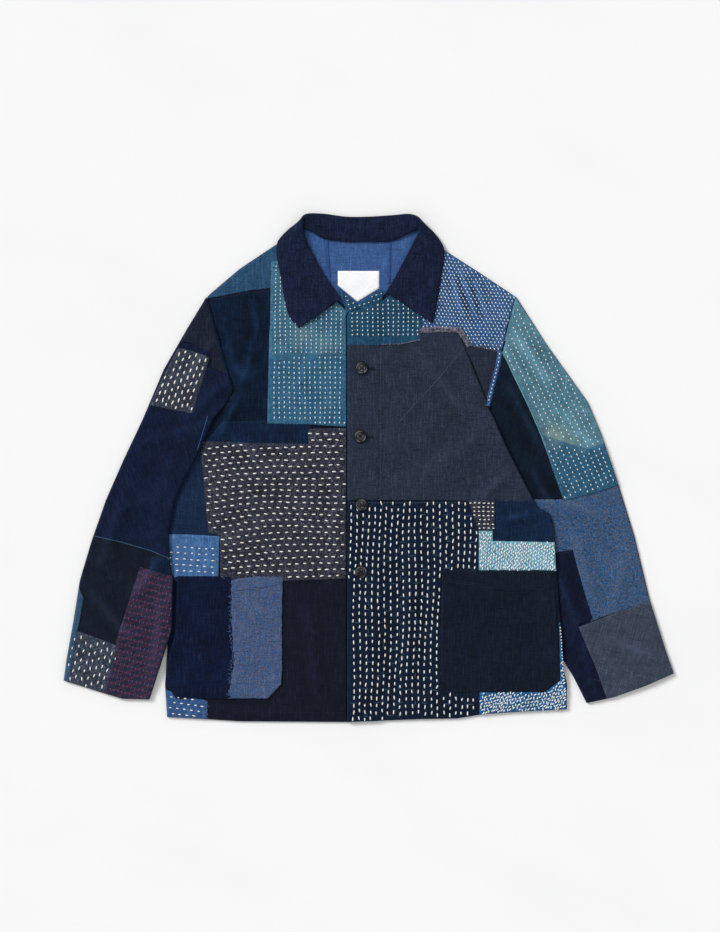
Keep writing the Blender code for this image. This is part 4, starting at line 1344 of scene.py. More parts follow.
PATCHES = (
    # Right front, left in the picture
    Patch(
        "shoulder_teal_patch", Host.FRONT_RIGHT,
        ((-104, 318), (-129, 324), (-245, 250), (-235, 240), (-217, 243), (-169, 252), (-138, 256),
         (-120, 290)),
        "shoulder_teal", 1,
    ),
    Patch(
        "chest_navy_patch", Host.FRONT_RIGHT,
        ((-240, 238), (-217, 241), (-169, 250), (-132, 254), (-128, 200), (-136, 58), (-206, 58), (-236, 30),
         (-250, 60), (-250, 180)),
        "chest_navy", 1,
    ),
    Patch(
        "dotted_teal_patch", Host.FRONT_RIGHT,
        ((-139, 293), (-92, 300), (-40, 240), (-25, 226), (-25, 160), (-142, 158), (-140, 220)),
        "dotted_teal", 2,
        (Stitches(thread="thread_ice", row=7.1, pitch=5.8, length=3.0, width=1.6),),
    ),
    Patch(
        "dotted_teal_low_patch", Host.FRONT_RIGHT,
        ((-142, 159), (-25, 160.5), (-25, 58), (-86, 62), (-144, 63)),
        "dotted_teal_low", 3,
        (TEAL_DOTS,),
    ),
    Patch(
        "strip_navy_patch", Host.FRONT_RIGHT,
        ((-208, 66), (-143, 68), (-81, 67), (-82, 32), (-245, 32), (-221, 50)),
        "strip_navy", 2,
    ),
    Patch(
        "grey_patch", Host.FRONT_RIGHT,
        ((-240, 39), (-169, 36), (-86, 35), (-86, 56), (-25, 57.5), (-25, -157), (-126, -160),
         (-211, -158), (-211, -96), (-228, -91)),
        "heather_grey", 3,
        (GREY_DASHES,),
    ),
    Patch(
        "deep_teal_patch", Host.FRONT_RIGHT,
        ((-236, 38), (-226, 36), (-214, -95), (-295, -97), (-290, -40)),
        "deep_teal_navy", 1,
    ),
    Patch(
        "sky_blue_patch", Host.FRONT_RIGHT,
        ((-295, -93), (-250, -94), (-211, -96), (-213, -160), (-295, -160)),
        "sky_blue", 2,
        (
            Stitches(
                angle=-2.0, row=8.7, pitch=10.1, length=4.6, width=1.8, wander=0.8,
                clear=((-300, -111, -205, -90), (-280, -165, -205, -151)),
            ),
        ),
    ),
    Patch(
        "coal_patch", Host.FRONT_RIGHT,
        ((-300, -150), (-25, -150), (-25, -370), (-300, -370)),
        "coal_navy", 1,
    ),
    Patch(
        "pocket_side_patch", Host.FRONT_RIGHT,
        ((-300, -153), (-262, -153), (-262, -300), (-300, -308)),
        "pocket_navy", 2,
    ),
    Patch(
        "hem_blue_patch", Host.FRONT_RIGHT,
        ((-300, -310), (-261, -322), (-229, -329), (-230, -370), (-300, -370)),
        "hem_blue", 2,
        (Stitches(angle=-6.0, row=8.0, pitch=10.0, length=4.6, width=1.8, stagger=0.5, margin=3),),
    ),
    # Left front, right in the picture
    Patch(
        "top_teal_patch", Host.FRONT_LEFT,
        ((-40, 228), (-16, 228), (20, 248), (60, 262), (78, 236), (74, 181), (44, 176), (16, 174),
         (-40, 175)),
        "top_teal", 2,
        (
            Stitches(
                thread="thread_ice", row=7.1, pitch=6.0, length=3.1, width=1.7,
                clear=((-60, 150, 90, 185),),
            ),
        ),
    ),
    Patch(
        "dotted_blue_patch", Host.FRONT_LEFT,
        ((66, 300), (92, 322), (112, 316), (144, 296), (215, 250), (225, 236), (205, 158),
         (164, 168), (141, 176), (128, 192), (74, 192)),
        "dotted_blue", 1,
        (
            Stitches(
                thread="thread_ice", angle=-62.0, row=4.6, pitch=5.4, length=3.3, width=1.6,
                stagger=0.5, wander=0.5, margin=1.8,
            ),
        ),
    ),
    Patch(
        "chest_grey_patch", Host.FRONT_LEFT,
        ((-40, 177), (16, 177), (74, 183), (74, 195), (101, 197), (128, 196), (134, 178),
         (148, 143), (171, 87), (194, 33), (204, 13), (239, -55), (250, -49), (179, -48),
         (101, -46), (-40, -46)),
        "chest_grey", 1, rim=1.6,
    ),
    # Wing of the left front beyond its fold, in the darker grey: painted shade.
    Patch(
        "fold_wing_patch", Host.FRONT_LEFT,
        ((134, 178), (150, 174), (210, 168), (200, 60), (184, 56), (171, 87), (149, 143)),
        "wing_grey_shaded", 1,
    ),
    Patch(
        "frayed_strip_patch", Host.FRONT_LEFT,
        ((72, 199), (101, 201), (131, 200), (147, 176), (140, 171), (126, 192), (101, 193),
         (72, 191)),
        "frayed_lilac", 3, ragged=0.5, step=2.0,
    ),
    Patch(
        "ink_patch", Host.FRONT_LEFT,
        ((-40, -47), (59, -47), (143, -47), (158, -92), (158, -160), (103, -160), (103, -315),
         (157, -315), (157, -375), (-40, -375)),
        "ink_navy", 2,
        (INK_DASHES, SCRATCHES, UPRIGHT_SCRATCHES),
    ),
    Patch(
        "mid_navy_patch", Host.FRONT_LEFT,
        ((174, -43), (250, -44), (285, -62), (285, -112), (168, -112), (170, -88)),
        "mid_navy", 1,
    ),
    Patch(
        "small_grey_patch", Host.FRONT_LEFT,
        ((141, -45), (179, -46), (179, -88), (155, -88)),
        "heather_grey", 3,
        (
            Stitches(
                angle=0.0, row=6.2, pitch=6.5, length=3.8, width=1.9, wander=0.6, margin=1.6,
            ),
        ),
        step=2.6,
    ),
    Patch(
        "ice_patch", Host.FRONT_LEFT,
        ((156, -88.5), (176, -88.5), (176, -103), (290, -105), (290, -145.5), (156, -145.5)),
        "ice_blue", 3, (RICE,), step=2.8,
    ),
    Patch(
        "river_patch", Host.FRONT_LEFT,
        ((157, -317), (229, -317), (250, -317), (271, -301), (269, -218), (295, -218),
         (295, -375), (157, -375)),
        "river_blue", 3,
        (
            Stitches(
                thread="thread_ice", angle=64.0, row=3.5, pitch=5.6, length=5.0, width=1.9,
                stagger=0.5, wander=1.0, zigzag=24.0, margin=1.4,
            ),
        ),
        step=2.8,
    ),
    Patch(
        "under_pocket_patch", Host.FRONT_LEFT,
        ((98, -140), (290, -146), (290, -322), (101, -322)),
        "pocket_black", 1,
    ),
    # Pockets
    Patch(
        "pocket_navy_patch", Host.POCKET_RIGHT,
        ((-290, -152), (-190, -152), (-190, -335), (-295, -335)),
        "pocket_navy", 1,
    ),
    Patch(
        "pocket_blue_patch", Host.POCKET_RIGHT,
        ((-195, -159), (-183, -156), (-115, -146), (-115, -306), (-143, -335), (-194, -335),
         (-198, -318), (-191, -272), (-195, -215)),
        "pocket_blue", 2, ragged=0.5, step=2.8,
    ),
    Patch(
        "pocket_black_patch", Host.POCKET_LEFT,
        ((95, -140), (280, -140), (280, -325), (95, -325)),
        "pocket_black", 1,
    ),
    # Right sleeve, left in the picture
    Patch(
        "sleeve_cap_patch", Host.SLEEVE_RIGHT,
        ((-245, 258), (-190, 250), (-190, 127), (-199, 131), (-223, 143), (-221, 162),
         (-256, 178), (-290, 182)),
        "cap_charcoal", 2,
    ),
    Patch(
        "sleeve_band_patch", Host.SLEEVE_RIGHT,
        ((-290, 186), (-190, 158), (-190, 130), (-290, 140)),
        "sleeve_navy", 1,
    ),
    Patch(
        "sleeve_main_patch", Host.SLEEVE_RIGHT,
        ((-320, 150), (-223, 142), (-199, 130), (-170, 100), (-230, -133), (-274, -133), (-308, -118),
         (-353, -105), (-410, -92), (-400, 0)),
        "sleeve_navy", 2,
    ),
    Patch(
        "sleeve_grey_patch", Host.SLEEVE_RIGHT,
        ((-270, 171), (-248, 166), (-225, 157), (-237, 117), (-250, 77), (-311, 89), (-291, 131)),
        "band_grey", 3, (SLEEVE_DASHES,),
    ),
    Patch(
        "sleeve_black_patch", Host.SLEEVE_RIGHT,
        ((-430, -90), (-353, -103), (-308, -116), (-260, -130), (-260, -165), (-324, -150),
         (-350, -255), (-440, -235)),
        "sleeve_black", 1,
    ),
    Patch(
        "sleeve_small_navy_patch", Host.SLEEVE_RIGHT,
        ((-307, -124), (-262, -135), (-262, -165), (-311, -148)),
        "strip_navy", 2,
    ),
    Patch(
        "plum_patch", Host.SLEEVE_RIGHT,
        ((-324, -139), (-262, -158), (-262, -230), (-300, -350), (-384, -345), (-377, -319),
         (-361, -272), (-359, -247)),
        "plum", 3,
        (
            Stitches(
                thread="thread_violet", angle=76.0, row=5.6, pitch=9.4, length=5.2, width=1.1,
                wander=0.25, margin=1.5,
            ),
            Stitches(
                thread="thread_red", angle=-14.0, row=9.4, pitch=5.7, length=5.6, width=1.0,
                wander=0.12, margin=1.2,
            ),
        ),
        step=2.8,
    ),
    Patch(
        "cuff_speckle_patch", Host.SLEEVE_RIGHT,
        ((-418, -229), (-384, -241), (-351, -253), (-362, -286), (-377, -340), (-445, -320)),
        "cuff_speckle", 2,
        (
            Stitches(
                angle=76.0, row=8.3, pitch=12.2, length=5.9, width=1.9, stagger=0.5, wander=1.2,
                margin=2.2,
            ),
        ),
    ),
    Patch(
        "outer_strip_patch", Host.SLEEVE_RIGHT,
        ((-445, -168), (-411, -169), (-404, -184), (-409, -213), (-416, -244), (-427, -320),
         (-450, -320)),
        "outer_strip", 3, step=2.6,
    ),
    # Left sleeve, right in the picture
    Patch(
        "sleeve_teal_patch", Host.SLEEVE_LEFT,
        ((191, 260), (229, 250), (345, 97), (352, 40), (308, 26), (246, 46), (229, 83),
         (203, 137), (186, 168)),
        "sleeve_teal", 2, (SLEEVE_DOTS,),
    ),
    Patch(
        "sleeve_teal_low_patch", Host.SLEEVE_LEFT,
        ((246, 47), (308, 27.5), (355, 42), (380, -10), (364, -20), (328, -33), (294, -42),
         (276, -46), (243, 48)),
        "sleeve_teal_low", 3, (SLEEVE_DOTS,),
    ),
    Patch(
        "underarm_patch", Host.SLEEVE_LEFT,
        ((180, 182), (196, 170), (214, 122), (247, 49), (277, -43.4), (225, -43.4), (150, 97)),
        "underarm_navy", 1,
    ),
    Patch(
        "dusk_patch", Host.SLEEVE_LEFT,
        ((225, -44), (276, -44), (294, -41), (328, -30), (390, -10), (430, -192), (357, -203),
         (314, -218), (289, -116), (225, -128)),
        "dusk_blue", 1, ragged=0.25,
    ),
    Patch(
        "inner_navy_patch", Host.SLEEVE_LEFT,
        ((225, -124), (262, -122), (289, -116), (303, -166), (318, -214), (298, -222),
         (317, -272), (347, -345), (280, -345), (230, -244)),
        "inner_navy", 2,
    ),
    Patch(
        "cuff_grey_patch", Host.SLEEVE_LEFT,
        ((297, -225), (350, -205), (425, -178), (455, -295), (392, -335), (344, -345),
         (320, -279)),
        "cuff_grey", 3,
    ),
    # Neck
    Patch(
        "lining_seam_right", Host.LINING,
        ((-63, 334), (-58, 334), (-53, 262), (-58, 262)),
        "lining_seam", 1, rim=0.6, step=2.4,
    ),
    Patch(
        "lining_seam_left", Host.LINING,
        ((28, 334), (33, 334), (31, 262), (26, 262)),
        "lining_seam", 1, rim=0.6, step=2.4,
    ),
)


def stops_across(width: np.ndarray, edge: tuple, step: float) -> np.ndarray:
    """Distances from the left edge: close ones by both edges, even ones between.

    Args:
        width: width of each row.
        edge: distances from an edge of the close ones.
        step: about how far apart the even ones are.

    Returns:
        One row of distances per width.
    """
    close = np.array(edge, float)
    scale = np.minimum(1.0, 0.4 * width / close.max())[:, None]
    left = close[None, :] * scale
    right = width[:, None] - close[None, ::-1] * scale
    middle = max(2, int(round((width.max() - 2.0 * close.max()) / step)))
    share = np.linspace(0.0, 1.0, middle + 1)[1:-1][None, :]
    return np.concatenate([left, left[:, -1:] + (right[:, :1] - left[:, -1:]) * share, right], 1)


def curve(points: tuple, share: np.ndarray) -> np.ndarray:
    """Points at shares of a line's length."""
    line = np.array(points, float)
    steps = np.hypot(*np.diff(line, axis=0).T)
    lengths = np.concatenate([[0.0], np.cumsum(steps)]) / steps.sum()
    return np.stack([np.interp(share, lengths, line[:, k]) for k in range(2)], axis=-1)


def unit(vectors: np.ndarray) -> np.ndarray:
    """Vectors of length one."""
    return vectors / np.maximum(np.linalg.norm(vectors, axis=-1, keepdims=True), 1e-9)


@dataclass(frozen=True)
class ClothSheet:
    """What a cloth panel states about its cut.

    Attributes:
        size: width and length of the flat cut, in metres.
        area: area of the cut, in square metres.
        rests_on: nodes that it lies on.
    """

    size: tuple[float, float]
    area: float
    rests_on: tuple[str, ...] = ()


@dataclass
class Panel:
    """One flat panel of the body, lining or pocket as a thin sheet on its solid's form."""

    name: str
    node: str
    slot: str
    finish: str
    outline: tuple[np.ndarray, np.ndarray]
    top: Height
    under: Height
    rests_on: tuple[str, ...]
    extras: list = field(default_factory=list)

    def build(self, wardrobe: Wardrobe) -> bpy.types.Object:
        """Make the sheet and hide the solid that it stands for.

        Args:
            wardrobe: the finishes.

        Returns:
            The piece.
        """
        x, y = self.outline
        mesh = shell_mesh(self.name, layer(x, y, self.top(x, y)), layer(x, y, self.under(x, y)))
        piece = add_piece(self.name, mesh, wardrobe.get(self.finish))
        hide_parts(self.node)
        return piece


def body_outline(left_table: tuple, right_table: tuple, step: float) -> tuple:
    """Plan grid of a body panel, with the hem's curve at the bottom.

    Args:
        left_table: left edge, y and x.
        right_table: right edge, y and x.
        step: about how far apart the rows and columns are.

    Returns:
        Grids of x and y.
    """
    close = np.array([0.0, 0.4, 1.3, 3.0])
    rows = np.linspace(319.0 - 6.0, -356.0 + 6.0, int(663.0 / step))
    y = np.concatenate([319.0 - close, rows, -356.0 + close[::-1]])
    left = edge_at(left_table, y)
    width = edge_at(right_table, y) - left
    x = left[:, None] + stops_across(width, (0.0, 0.4, 1.3, 3.0, 6.0), step)
    hem = np.array(CUT.hem, float)
    low = CUT.hem_start
    stretch = (np.interp(x, hem[:, 0], hem[:, 1]) - low) / (y[-1] - low)
    rows_y = np.broadcast_to(y[:, None], x.shape)
    return x, np.where(rows_y < low, low + (rows_y - low) * stretch, rows_y)


@dataclass
class Body:
    """The back and both fronts."""

    step: float = 4.4

    def build(self, wardrobe: Wardrobe, sewn: dict[Host, list]) -> list[bpy.types.Object]:
        """Make the three panels.

        Args:
            wardrobe: the finishes.
            sewn: the pieces sewn to each panel.

        Returns:
            The panels.
        """
        level = CUT.front_level
        panels = (
            Panel(
                "back_panel", "back", "back_cloth", "back_navy",
                body_outline(CUT.body_left, CUT.body_right, 9.0),
                lambda x, y: Lie.back_under(x, y) + CUT.wall, Lie.back_under, ("sleeve_left",),
            ),
            Panel(
                "front_right_panel", "front_right", "front_right_cloth", "coal_navy",
                body_outline(CUT.body_left, CUT.right_neck, self.step),
                Lie.sunk(
                    Lie.front_right, lambda x, y: np.full(np.shape(x), level),
                    lambda x, y: Lie.inside_body(x, y, CUT.body_left, CUT.right_neck),
                ),
                lambda x, y: np.full(np.shape(x), level), ("back",),
                sewn[Host.FRONT_RIGHT],
            ),
            Panel(
                "front_left_panel", "front_left", "front_left_cloth", "ink_navy",
                body_outline(CUT.left_neck, CUT.body_right, self.step),
                Lie.sunk(
                    Lie.front_left, Lie.left_base,
                    lambda x, y: Lie.inside_body(x, y, CUT.left_neck, CUT.body_right),
                ),
                Lie.left_base, ("back", "front_right"),
                sewn[Host.FRONT_LEFT],
            ),
        )
        return [panel.build(wardrobe) for panel in panels]


@dataclass
class Sleeve:
    """One flattened sleeve: a thin tube of cloth, open at the armhole and at the cuff."""

    host: Host
    outer: tuple
    inner: tuple
    cuff: tuple
    under: Height
    finish: str
    rests_on: tuple[str, ...]
    shift: float
    rings: int = 110
    step: float = 4.8

    def plan(self, inset: float) -> tuple[np.ndarray, np.ndarray]:
        """Plan grid spanned between the armhole, the two edges and the cuff.

        Args:
            inset: how far inside the edges the outermost columns lie.

        Returns:
            Grids of x and y, one row per ring.
        """
        outer = ((self.outer[0][0] + self.shift, self.outer[0][1]), *self.outer[1:])
        inner = ((self.inner[0][0] + self.shift, self.inner[0][1]), *self.inner[1:])
        along = np.linspace(0.0, 1.0, self.rings)
        width = np.hypot(*(curve(outer, along) - curve(inner, along)).T)
        share = stops_across(width, (0.0, 0.25, 0.8, 1.8, 3.2, 5.5), self.step) / width[:, None]
        low = inset / width[:, None]
        share = np.clip(share, low, 1.0 - low)
        u, v = share[..., None], along[:, None, None]
        top = (np.array(outer[0]), np.array(inner[0]))
        bottom = (np.array(self.cuff[0], float), np.array(self.cuff[-1], float))
        across_top = (1 - u) * top[0] + u * top[1]
        across_cuff = curve(self.cuff, share)
        sides = (1 - u) * curve(outer, along)[:, None] + u * curve(inner, along)[:, None]
        corners = (1 - v) * across_top + v * ((1 - u) * bottom[0] + u * bottom[1])
        plan = (1 - v) * across_top + v * across_cuff + sides - corners
        return plan[..., 0], plan[..., 1]

    def build(self, wardrobe: Wardrobe, sewn: list) -> bpy.types.Object:
        """Make the tube: an outer skin, an inner skin and the two open ends.

        Args:
            wardrobe: the finishes.
            sewn: the pieces sewn to the sleeve; not used.

        Returns:
            The sleeve.
        """
        skins = []
        columns = 0
        for inset, wall in ((0.0, 0.0), (1.6, CUT.sleeve_wall - CUT.patch)):
            x, y = self.plan(inset)
            columns = x.shape[1]
            distance = np.minimum(
                np.hypot(x - x[:, :1], y - y[:, :1]), np.hypot(x - x[:, -1:], y - y[:, -1:])
            )
            top = self.host.top(x, y) - wall - 0.3 * ease(distance / 8.0 - 0.5)
            bottom = Lie.sleeve_shape(0.9 * distance, self.under(x, y), 0.0 * x, False) + wall
            middle = 0.5 * (top + bottom)
            upper = np.maximum(top, middle + 0.04)
            lower = np.minimum(bottom, middle - 0.04)
            skins.append(np.concatenate([layer(x, y, lower), layer(x, y, upper)[:, ::-1]], axis=1))
        count = 2 * columns
        shift = self.rings * count
        outer_faces = grid_quads(self.rings, count, 0, True)
        inner_faces = grid_quads(self.rings, count, shift, True)[:, ::-1]
        faces = [outer_faces, inner_faces]
        k = np.arange(count)
        nxt = (k + 1) % count
        for ring in (0, self.rings - 1):
            first = ring * count
            faces.append(np.stack([first + k, first + nxt, first + nxt + shift, first + k + shift], 1))
        name = f"{self.host.value}_panel"
        points = np.concatenate([skin.reshape(-1, 3) for skin in skins])
        piece = add_piece(
            name, fill_mesh(name, points, faces), wardrobe.get(self.finish),
        )
        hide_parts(self.host.value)
        x, y = self.plan(0.0)
        ring = border(*x.shape)
        return piece


@dataclass
class Collar:
    """Stand and fall of the collar: one folded sheet with a top-stitched edge."""

    stations: int = 150

    def spline(self, values: np.ndarray, count: int) -> np.ndarray:
        """Smooth rows through every row of a table (a Catmull-Rom curve).

        Args:
            values: the table.
            count: number of rows to make.

        Returns:
            The rows.
        """
        first, last = 2 * values[:1] - values[1:2], 2 * values[-1:] - values[-2:-1]
        rows = np.concatenate([first, values, last])
        place = np.linspace(0.0, len(values) - 1.0, count)
        index = np.minimum(place.astype(int), len(values) - 2)
        t = (place - index)[:, None]
        a, b, c, d = (rows[index + k] for k in range(4))
        turn = (c - a) * t + (2 * a - 5 * b + 4 * c - d) * t**2 + (3 * b - a - 3 * c + d) * t**3
        return b + 0.5 * turn

    def sections(self) -> tuple[np.ndarray, np.ndarray]:
        """Middle surface and its normals.

        Each section runs from the neck seam up the stand, round a quarter-and-quarter roll
        line, and down the fall with a slight bow.

        Returns:
            Grids of points and of normals, one row per station.
        """
        table = self.spline(np.array(CUT.collar, float), self.stations)
        roll, seam, edge = table[:, 0:3], table[:, 3:6], table[:, 6:9]
        along = unit(np.gradient(roll, axis=0))

        def square(direction: np.ndarray) -> np.ndarray:
            return unit(direction - (direction * along).sum(axis=1, keepdims=True) * along)

        inward = unit(square(seam - roll) + square(edge - roll))
        outward = np.cross(along, inward)
        centre = roll + CUT.collar_roll * inward
        start = centre - CUT.collar_roll * outward
        end = centre + CUT.collar_roll * outward
        lift = np.clip(outward[:, 2:3], 0.0, 1.0)
        middle, ahead = [], []
        for share in np.linspace(0.0, 0.94, 7):
            middle.append(seam + (start - seam) * share)
            ahead.append(start - seam)
        for degrees in np.linspace(-90.0, 90.0, 9):
            angle = np.radians(degrees)
            turn = outward * np.sin(angle) - inward * np.cos(angle)
            middle.append(centre + CUT.collar_roll * turn)
            ahead.append(outward * np.cos(angle) + inward * np.sin(angle))
        place = np.arange(self.stations)[:, None]
        for share in np.linspace(0.06, 1.0, 14):
            bow = 0.9 * np.sin(np.pi * share) * lift * outward
            wave = 0.35 * np.sin(place / 9.0 + 2.0 * share) * np.sin(np.pi * share) * lift
            middle.append(end + (edge - end) * share + bow + wave * outward)
            ahead.append(edge - end)
        surface = np.stack(middle, axis=1)
        return surface, unit(np.cross(np.gradient(surface, axis=0), np.stack(ahead, axis=1)))

    def build(self, wardrobe: Wardrobe) -> list[bpy.types.Object]:
        """Make the collar and its stitched edge.

        Args:
            wardrobe: the finishes.

        Returns:
            The pieces.
        """
        surface, normal = self.sections()
        thin = np.full(surface.shape[1], 0.5 * CUT.collar_wall)
        thin[-1] = 0.45
        thin[-2] = 0.85
        half = thin[None, :, None] * normal
        mesh = shell_mesh("collar_cloth_sheet", surface + half, surface - half)
        piece = add_piece("collar_cloth_sheet", mesh, wardrobe.get("collar_navy"))
        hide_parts("collar")
        line = surface[6:-6, -3] + (0.5 * CUT.collar_wall) * normal[6:-6, -3]
        seams = SeamThread(pitch=3.4, length=2.3, width=0.55)
        stitches = seams.run("collar_edge_stitches", line, wardrobe, "thread_navy", "collar_cloth")
        return [piece, stitches]


@dataclass(frozen=True)
class SeamThread:
    """A run of small machine or hand stitches along a line on the cloth."""

    pitch: float = 4.0
    length: float = 2.6
    width: float = 0.7
    jitter: float = 0.1

    def run(
        self, name: str, line: np.ndarray, wardrobe: Wardrobe, thread: str, slot: str
    ) -> bpy.types.Object:
        """Lay the stitches.

        Args:
            name: the piece's name.
            line: x, y, z points on the cloth.
            wardrobe: the finishes.
            thread: the thread's finish.
            slot: the material slot; not used.

        Returns:
            The piece.
        """
        steps = np.linalg.norm(np.diff(line, axis=0), axis=1)
        along = np.concatenate([[0.0], np.cumsum(steps)])
        first = np.arange(0.5 * self.pitch, along[-1] - self.pitch, self.pitch)
        last = first + self.length
        starts = np.stack([np.interp(first, along, line[:, k]) for k in range(3)], axis=1)
        ends = np.stack([np.interp(last, along, line[:, k]) for k in range(3)], axis=1)
        rng = np.random.default_rng(len(name))
        nudge = rng.normal(0.0, self.jitter, starts.shape)
        nudge[:, 2] = 0.0
        mesh = stitch_mesh(name, starts + nudge, ends + nudge, self.width)
        return add_piece(name, mesh, wardrobe.get(thread))


def on_host(host: Host, points: Points, lift: float, step: float = 4.0) -> np.ndarray:
    """Points along a line, laid on a panel.

    Args:
        host: the panel.
        points: x, y points of the line.
        lift: height above the panel's own cloth.
        step: about how far apart the points are.

    Returns:
        x, y, z points.
    """
    line = np.array(points, float)
    steps = np.hypot(*np.diff(line, axis=0).T)
    share = np.linspace(0.0, 1.0, max(3, int(steps.sum() / step)))
    plan = host.held_in(curve(tuple(map(tuple, line)), share), 0.9)
    height = host.top(plan[:, 0], plan[:, 1]) + host.pucker(plan[:, 0], plan[:, 1])
    return layer(plan[:, 0], plan[:, 1], height + lift)


def ridge(name: str, line: np.ndarray, width: float, height: float) -> bpy.types.Mesh:
    """A low rounded band along a line: a seam allowance, a hem's edge or a thread.

    Args:
        name: the mesh's name.
        line: x, y, z points of its foot.
        width: how wide it is.
        height: how high it stands.

    Returns:
        A closed mesh with a six-sided section.
    """
    along = unit(np.gradient(line, axis=0))
    across = unit(np.stack([-along[:, 1], along[:, 0], 0.0 * along[:, 0]], axis=1))
    up = np.array([0.0, 0.0, 1.0])
    ring = ((-1.0, -0.2), (-0.75, 0.6), (-0.25, 1.0), (0.25, 1.0), (0.75, 0.6), (1.0, -0.2))
    rows = [line + 0.5 * width * side * across + height * rise * up for side, rise in ring]
    points = np.stack(rows, axis=1)
    rings, count = points.shape[:2]
    caps = np.array([np.arange(count)[::-1], (rings - 1) * count + np.arange(count)])
    return fill_mesh(name, points.reshape(-1, 3), [grid_quads(rings, count, 0, True), caps])


@dataclass(frozen=True)
class PlainFinish:
    """Smooth material of one colour with a little variation: tape, horn or a floor."""

    name: str
    tone: tuple[int, int, int]
    other: tuple[int, int, int]
    size_mm: float
    roughness: float
    coat: float = 0.0
    specular: float = 0.5
    # Button centres that get painted ring highlights, and the highlights' tone.
    rings: tuple = ()
    ring_highlight_tone: tuple[int, int, int] = (112, 114, 118)

    def painted_ring_highlight(self, make: NodeDesk, colour: bpy.types.NodeSocket) -> bpy.types.NodeSocket:
        """Painted highlight: pale rings about each centre, on the rim's inner slope and the dish's floor,
        where light would catch.
        """
        flat = make.node("ShaderNodeVectorMath")
        flat.operation = "MULTIPLY"
        flat.inputs[1].default_value = (1.0, 1.0, 0.0)
        make.link(make.coordinates(0.0), flat.inputs[0])
        away = None
        for x, y in self.rings:
            reach = make.distance(flat.outputs[0], (x * MM, y * MM, 0.0))
            away = reach if away is None else make.math("MINIMUM", away, reach)
        slope = make.times(make.ramp(away, 0.0058, 0.0066), make.ramp(away, 0.0082, 0.0074))
        floor = make.times(make.ramp(away, 0.0054, 0.0046), make.ramp(away, 0.0, 0.003))
        shine = make.noise(make.coordinates(0.0), 110.0, 2.0, (1, 1, 1), 0.5)
        share = make.times(make.add(slope, make.scaled(floor, 0.5)), make.ramp(shine, 0.35, 0.62))
        return make.mix(colour, make.colour(ClothFinish.linear(self.ring_highlight_tone)), share)

    def build(self) -> bpy.types.Material:
        """Build the node material.

        Returns:
            The material.
        """
        material = bpy.data.materials.new(self.name)
        material.use_nodes = True
        make = NodeDesk(material)
        shader = material.node_tree.nodes["Principled BSDF"]
        place = make.coordinates(20.0)
        cloud = make.noise(place, 1000.0 / self.size_mm, 3.0, (1.0, 2.2, 1.0), 0.6)
        first = make.colour(ClothFinish.linear(self.tone))
        second = make.colour(ClothFinish.linear(self.other))
        colour = make.mix(first, second, make.ramp(cloud, 0.42, 0.66))
        if self.rings:
            colour = self.painted_ring_highlight(make, colour)
        make.link(colour, shader.inputs["Base Color"])
        shader.inputs["Roughness"].default_value = self.roughness
        shader.inputs["Coat Weight"].default_value = self.coat
        shader.inputs["Coat Roughness"].default_value = 0.15
        shader.inputs["Specular IOR Level"].default_value = self.specular
        return material


PLAIN_FINISHES = (
    PlainFinish("label_white", (246, 246, 246), (236, 237, 240), 3.0, 0.7),
    # Horn for the buttons, with painted ring highlights about their centres.
    PlainFinish("horn", (5, 6, 9), (16, 16, 19), 6.0, 0.3, 0.0, 0.2, CUT.buttons),
    # Painted shade: near-black for the shadowed gap of each buttonhole slit.
    PlainFinish("buttonhole_shade", (8, 9, 13), (12, 13, 18), 4.0, 0.95),
    PlainFinish("paper_floor", (243, 243, 243), (241, 241, 242), 400.0, 0.9),
)


@dataclass
class Neck:
    """Blue inner back, plain label and the turned edge at the point of the neck."""

    def build(self, wardrobe: Wardrobe) -> list[bpy.types.Object]:
        """Make the three pieces.

        Args:
            wardrobe: the finishes.

        Returns:
            The pieces.
        """
        seams = []
        for patch in LINING_PATCHES:
            seams += patch.build(wardrobe)
        rows = np.array(CUT.lining, float)[::-1]
        y = np.linspace(343.0, 231.0, 32)
        left, right = np.interp(y, rows[:, 0], rows[:, 1]), np.interp(y, rows[:, 0], rows[:, 2])
        x = left[:, None] + (right - left)[:, None] * np.linspace(0.0, 1.0, 34)[None, :]
        grid = (x, np.broadcast_to(y[:, None], x.shape))
        base = CUT.wall + CUT.seam
        lining = Panel(
            "lining_sheet", "back_lining", "lining_cloth", "lining_blue", grid,
            Lie.lining, lambda px, py: np.full(np.shape(px), base), ("back",), seams,
        ).build(wardrobe)
        label = self.flat_piece(
            Patch(
                "label_tape", Host.LINING, CUT.label, "label_white", 1, rim=0.5,
                slot="label_cloth",
            ),
            wardrobe, "label",
        )
        facing = self.flat_piece(
            Patch(
                "neck_edge", Host.FACING, CUT.facing, "top_teal", 1, rim=1.0, step=2.4,
                stitches=(
                    Stitches(
                        thread="thread_ice", angle=20.0, row=6.4, pitch=7.0, length=3.0,
                        width=1.3, margin=1.6,
                    ),
                ),
            ),
            wardrobe, "neck_facing",
        )
        return [lining, *seams, *label, *facing]

    def flat_piece(
        self, patch: Patch, wardrobe: Wardrobe, node: str
    ) -> list[bpy.types.Object]:
        """Make a patch that stands for a node of its own."""
        pieces = patch.build(wardrobe)
        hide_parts(node)
        outline = patch.outline_points()
        return pieces


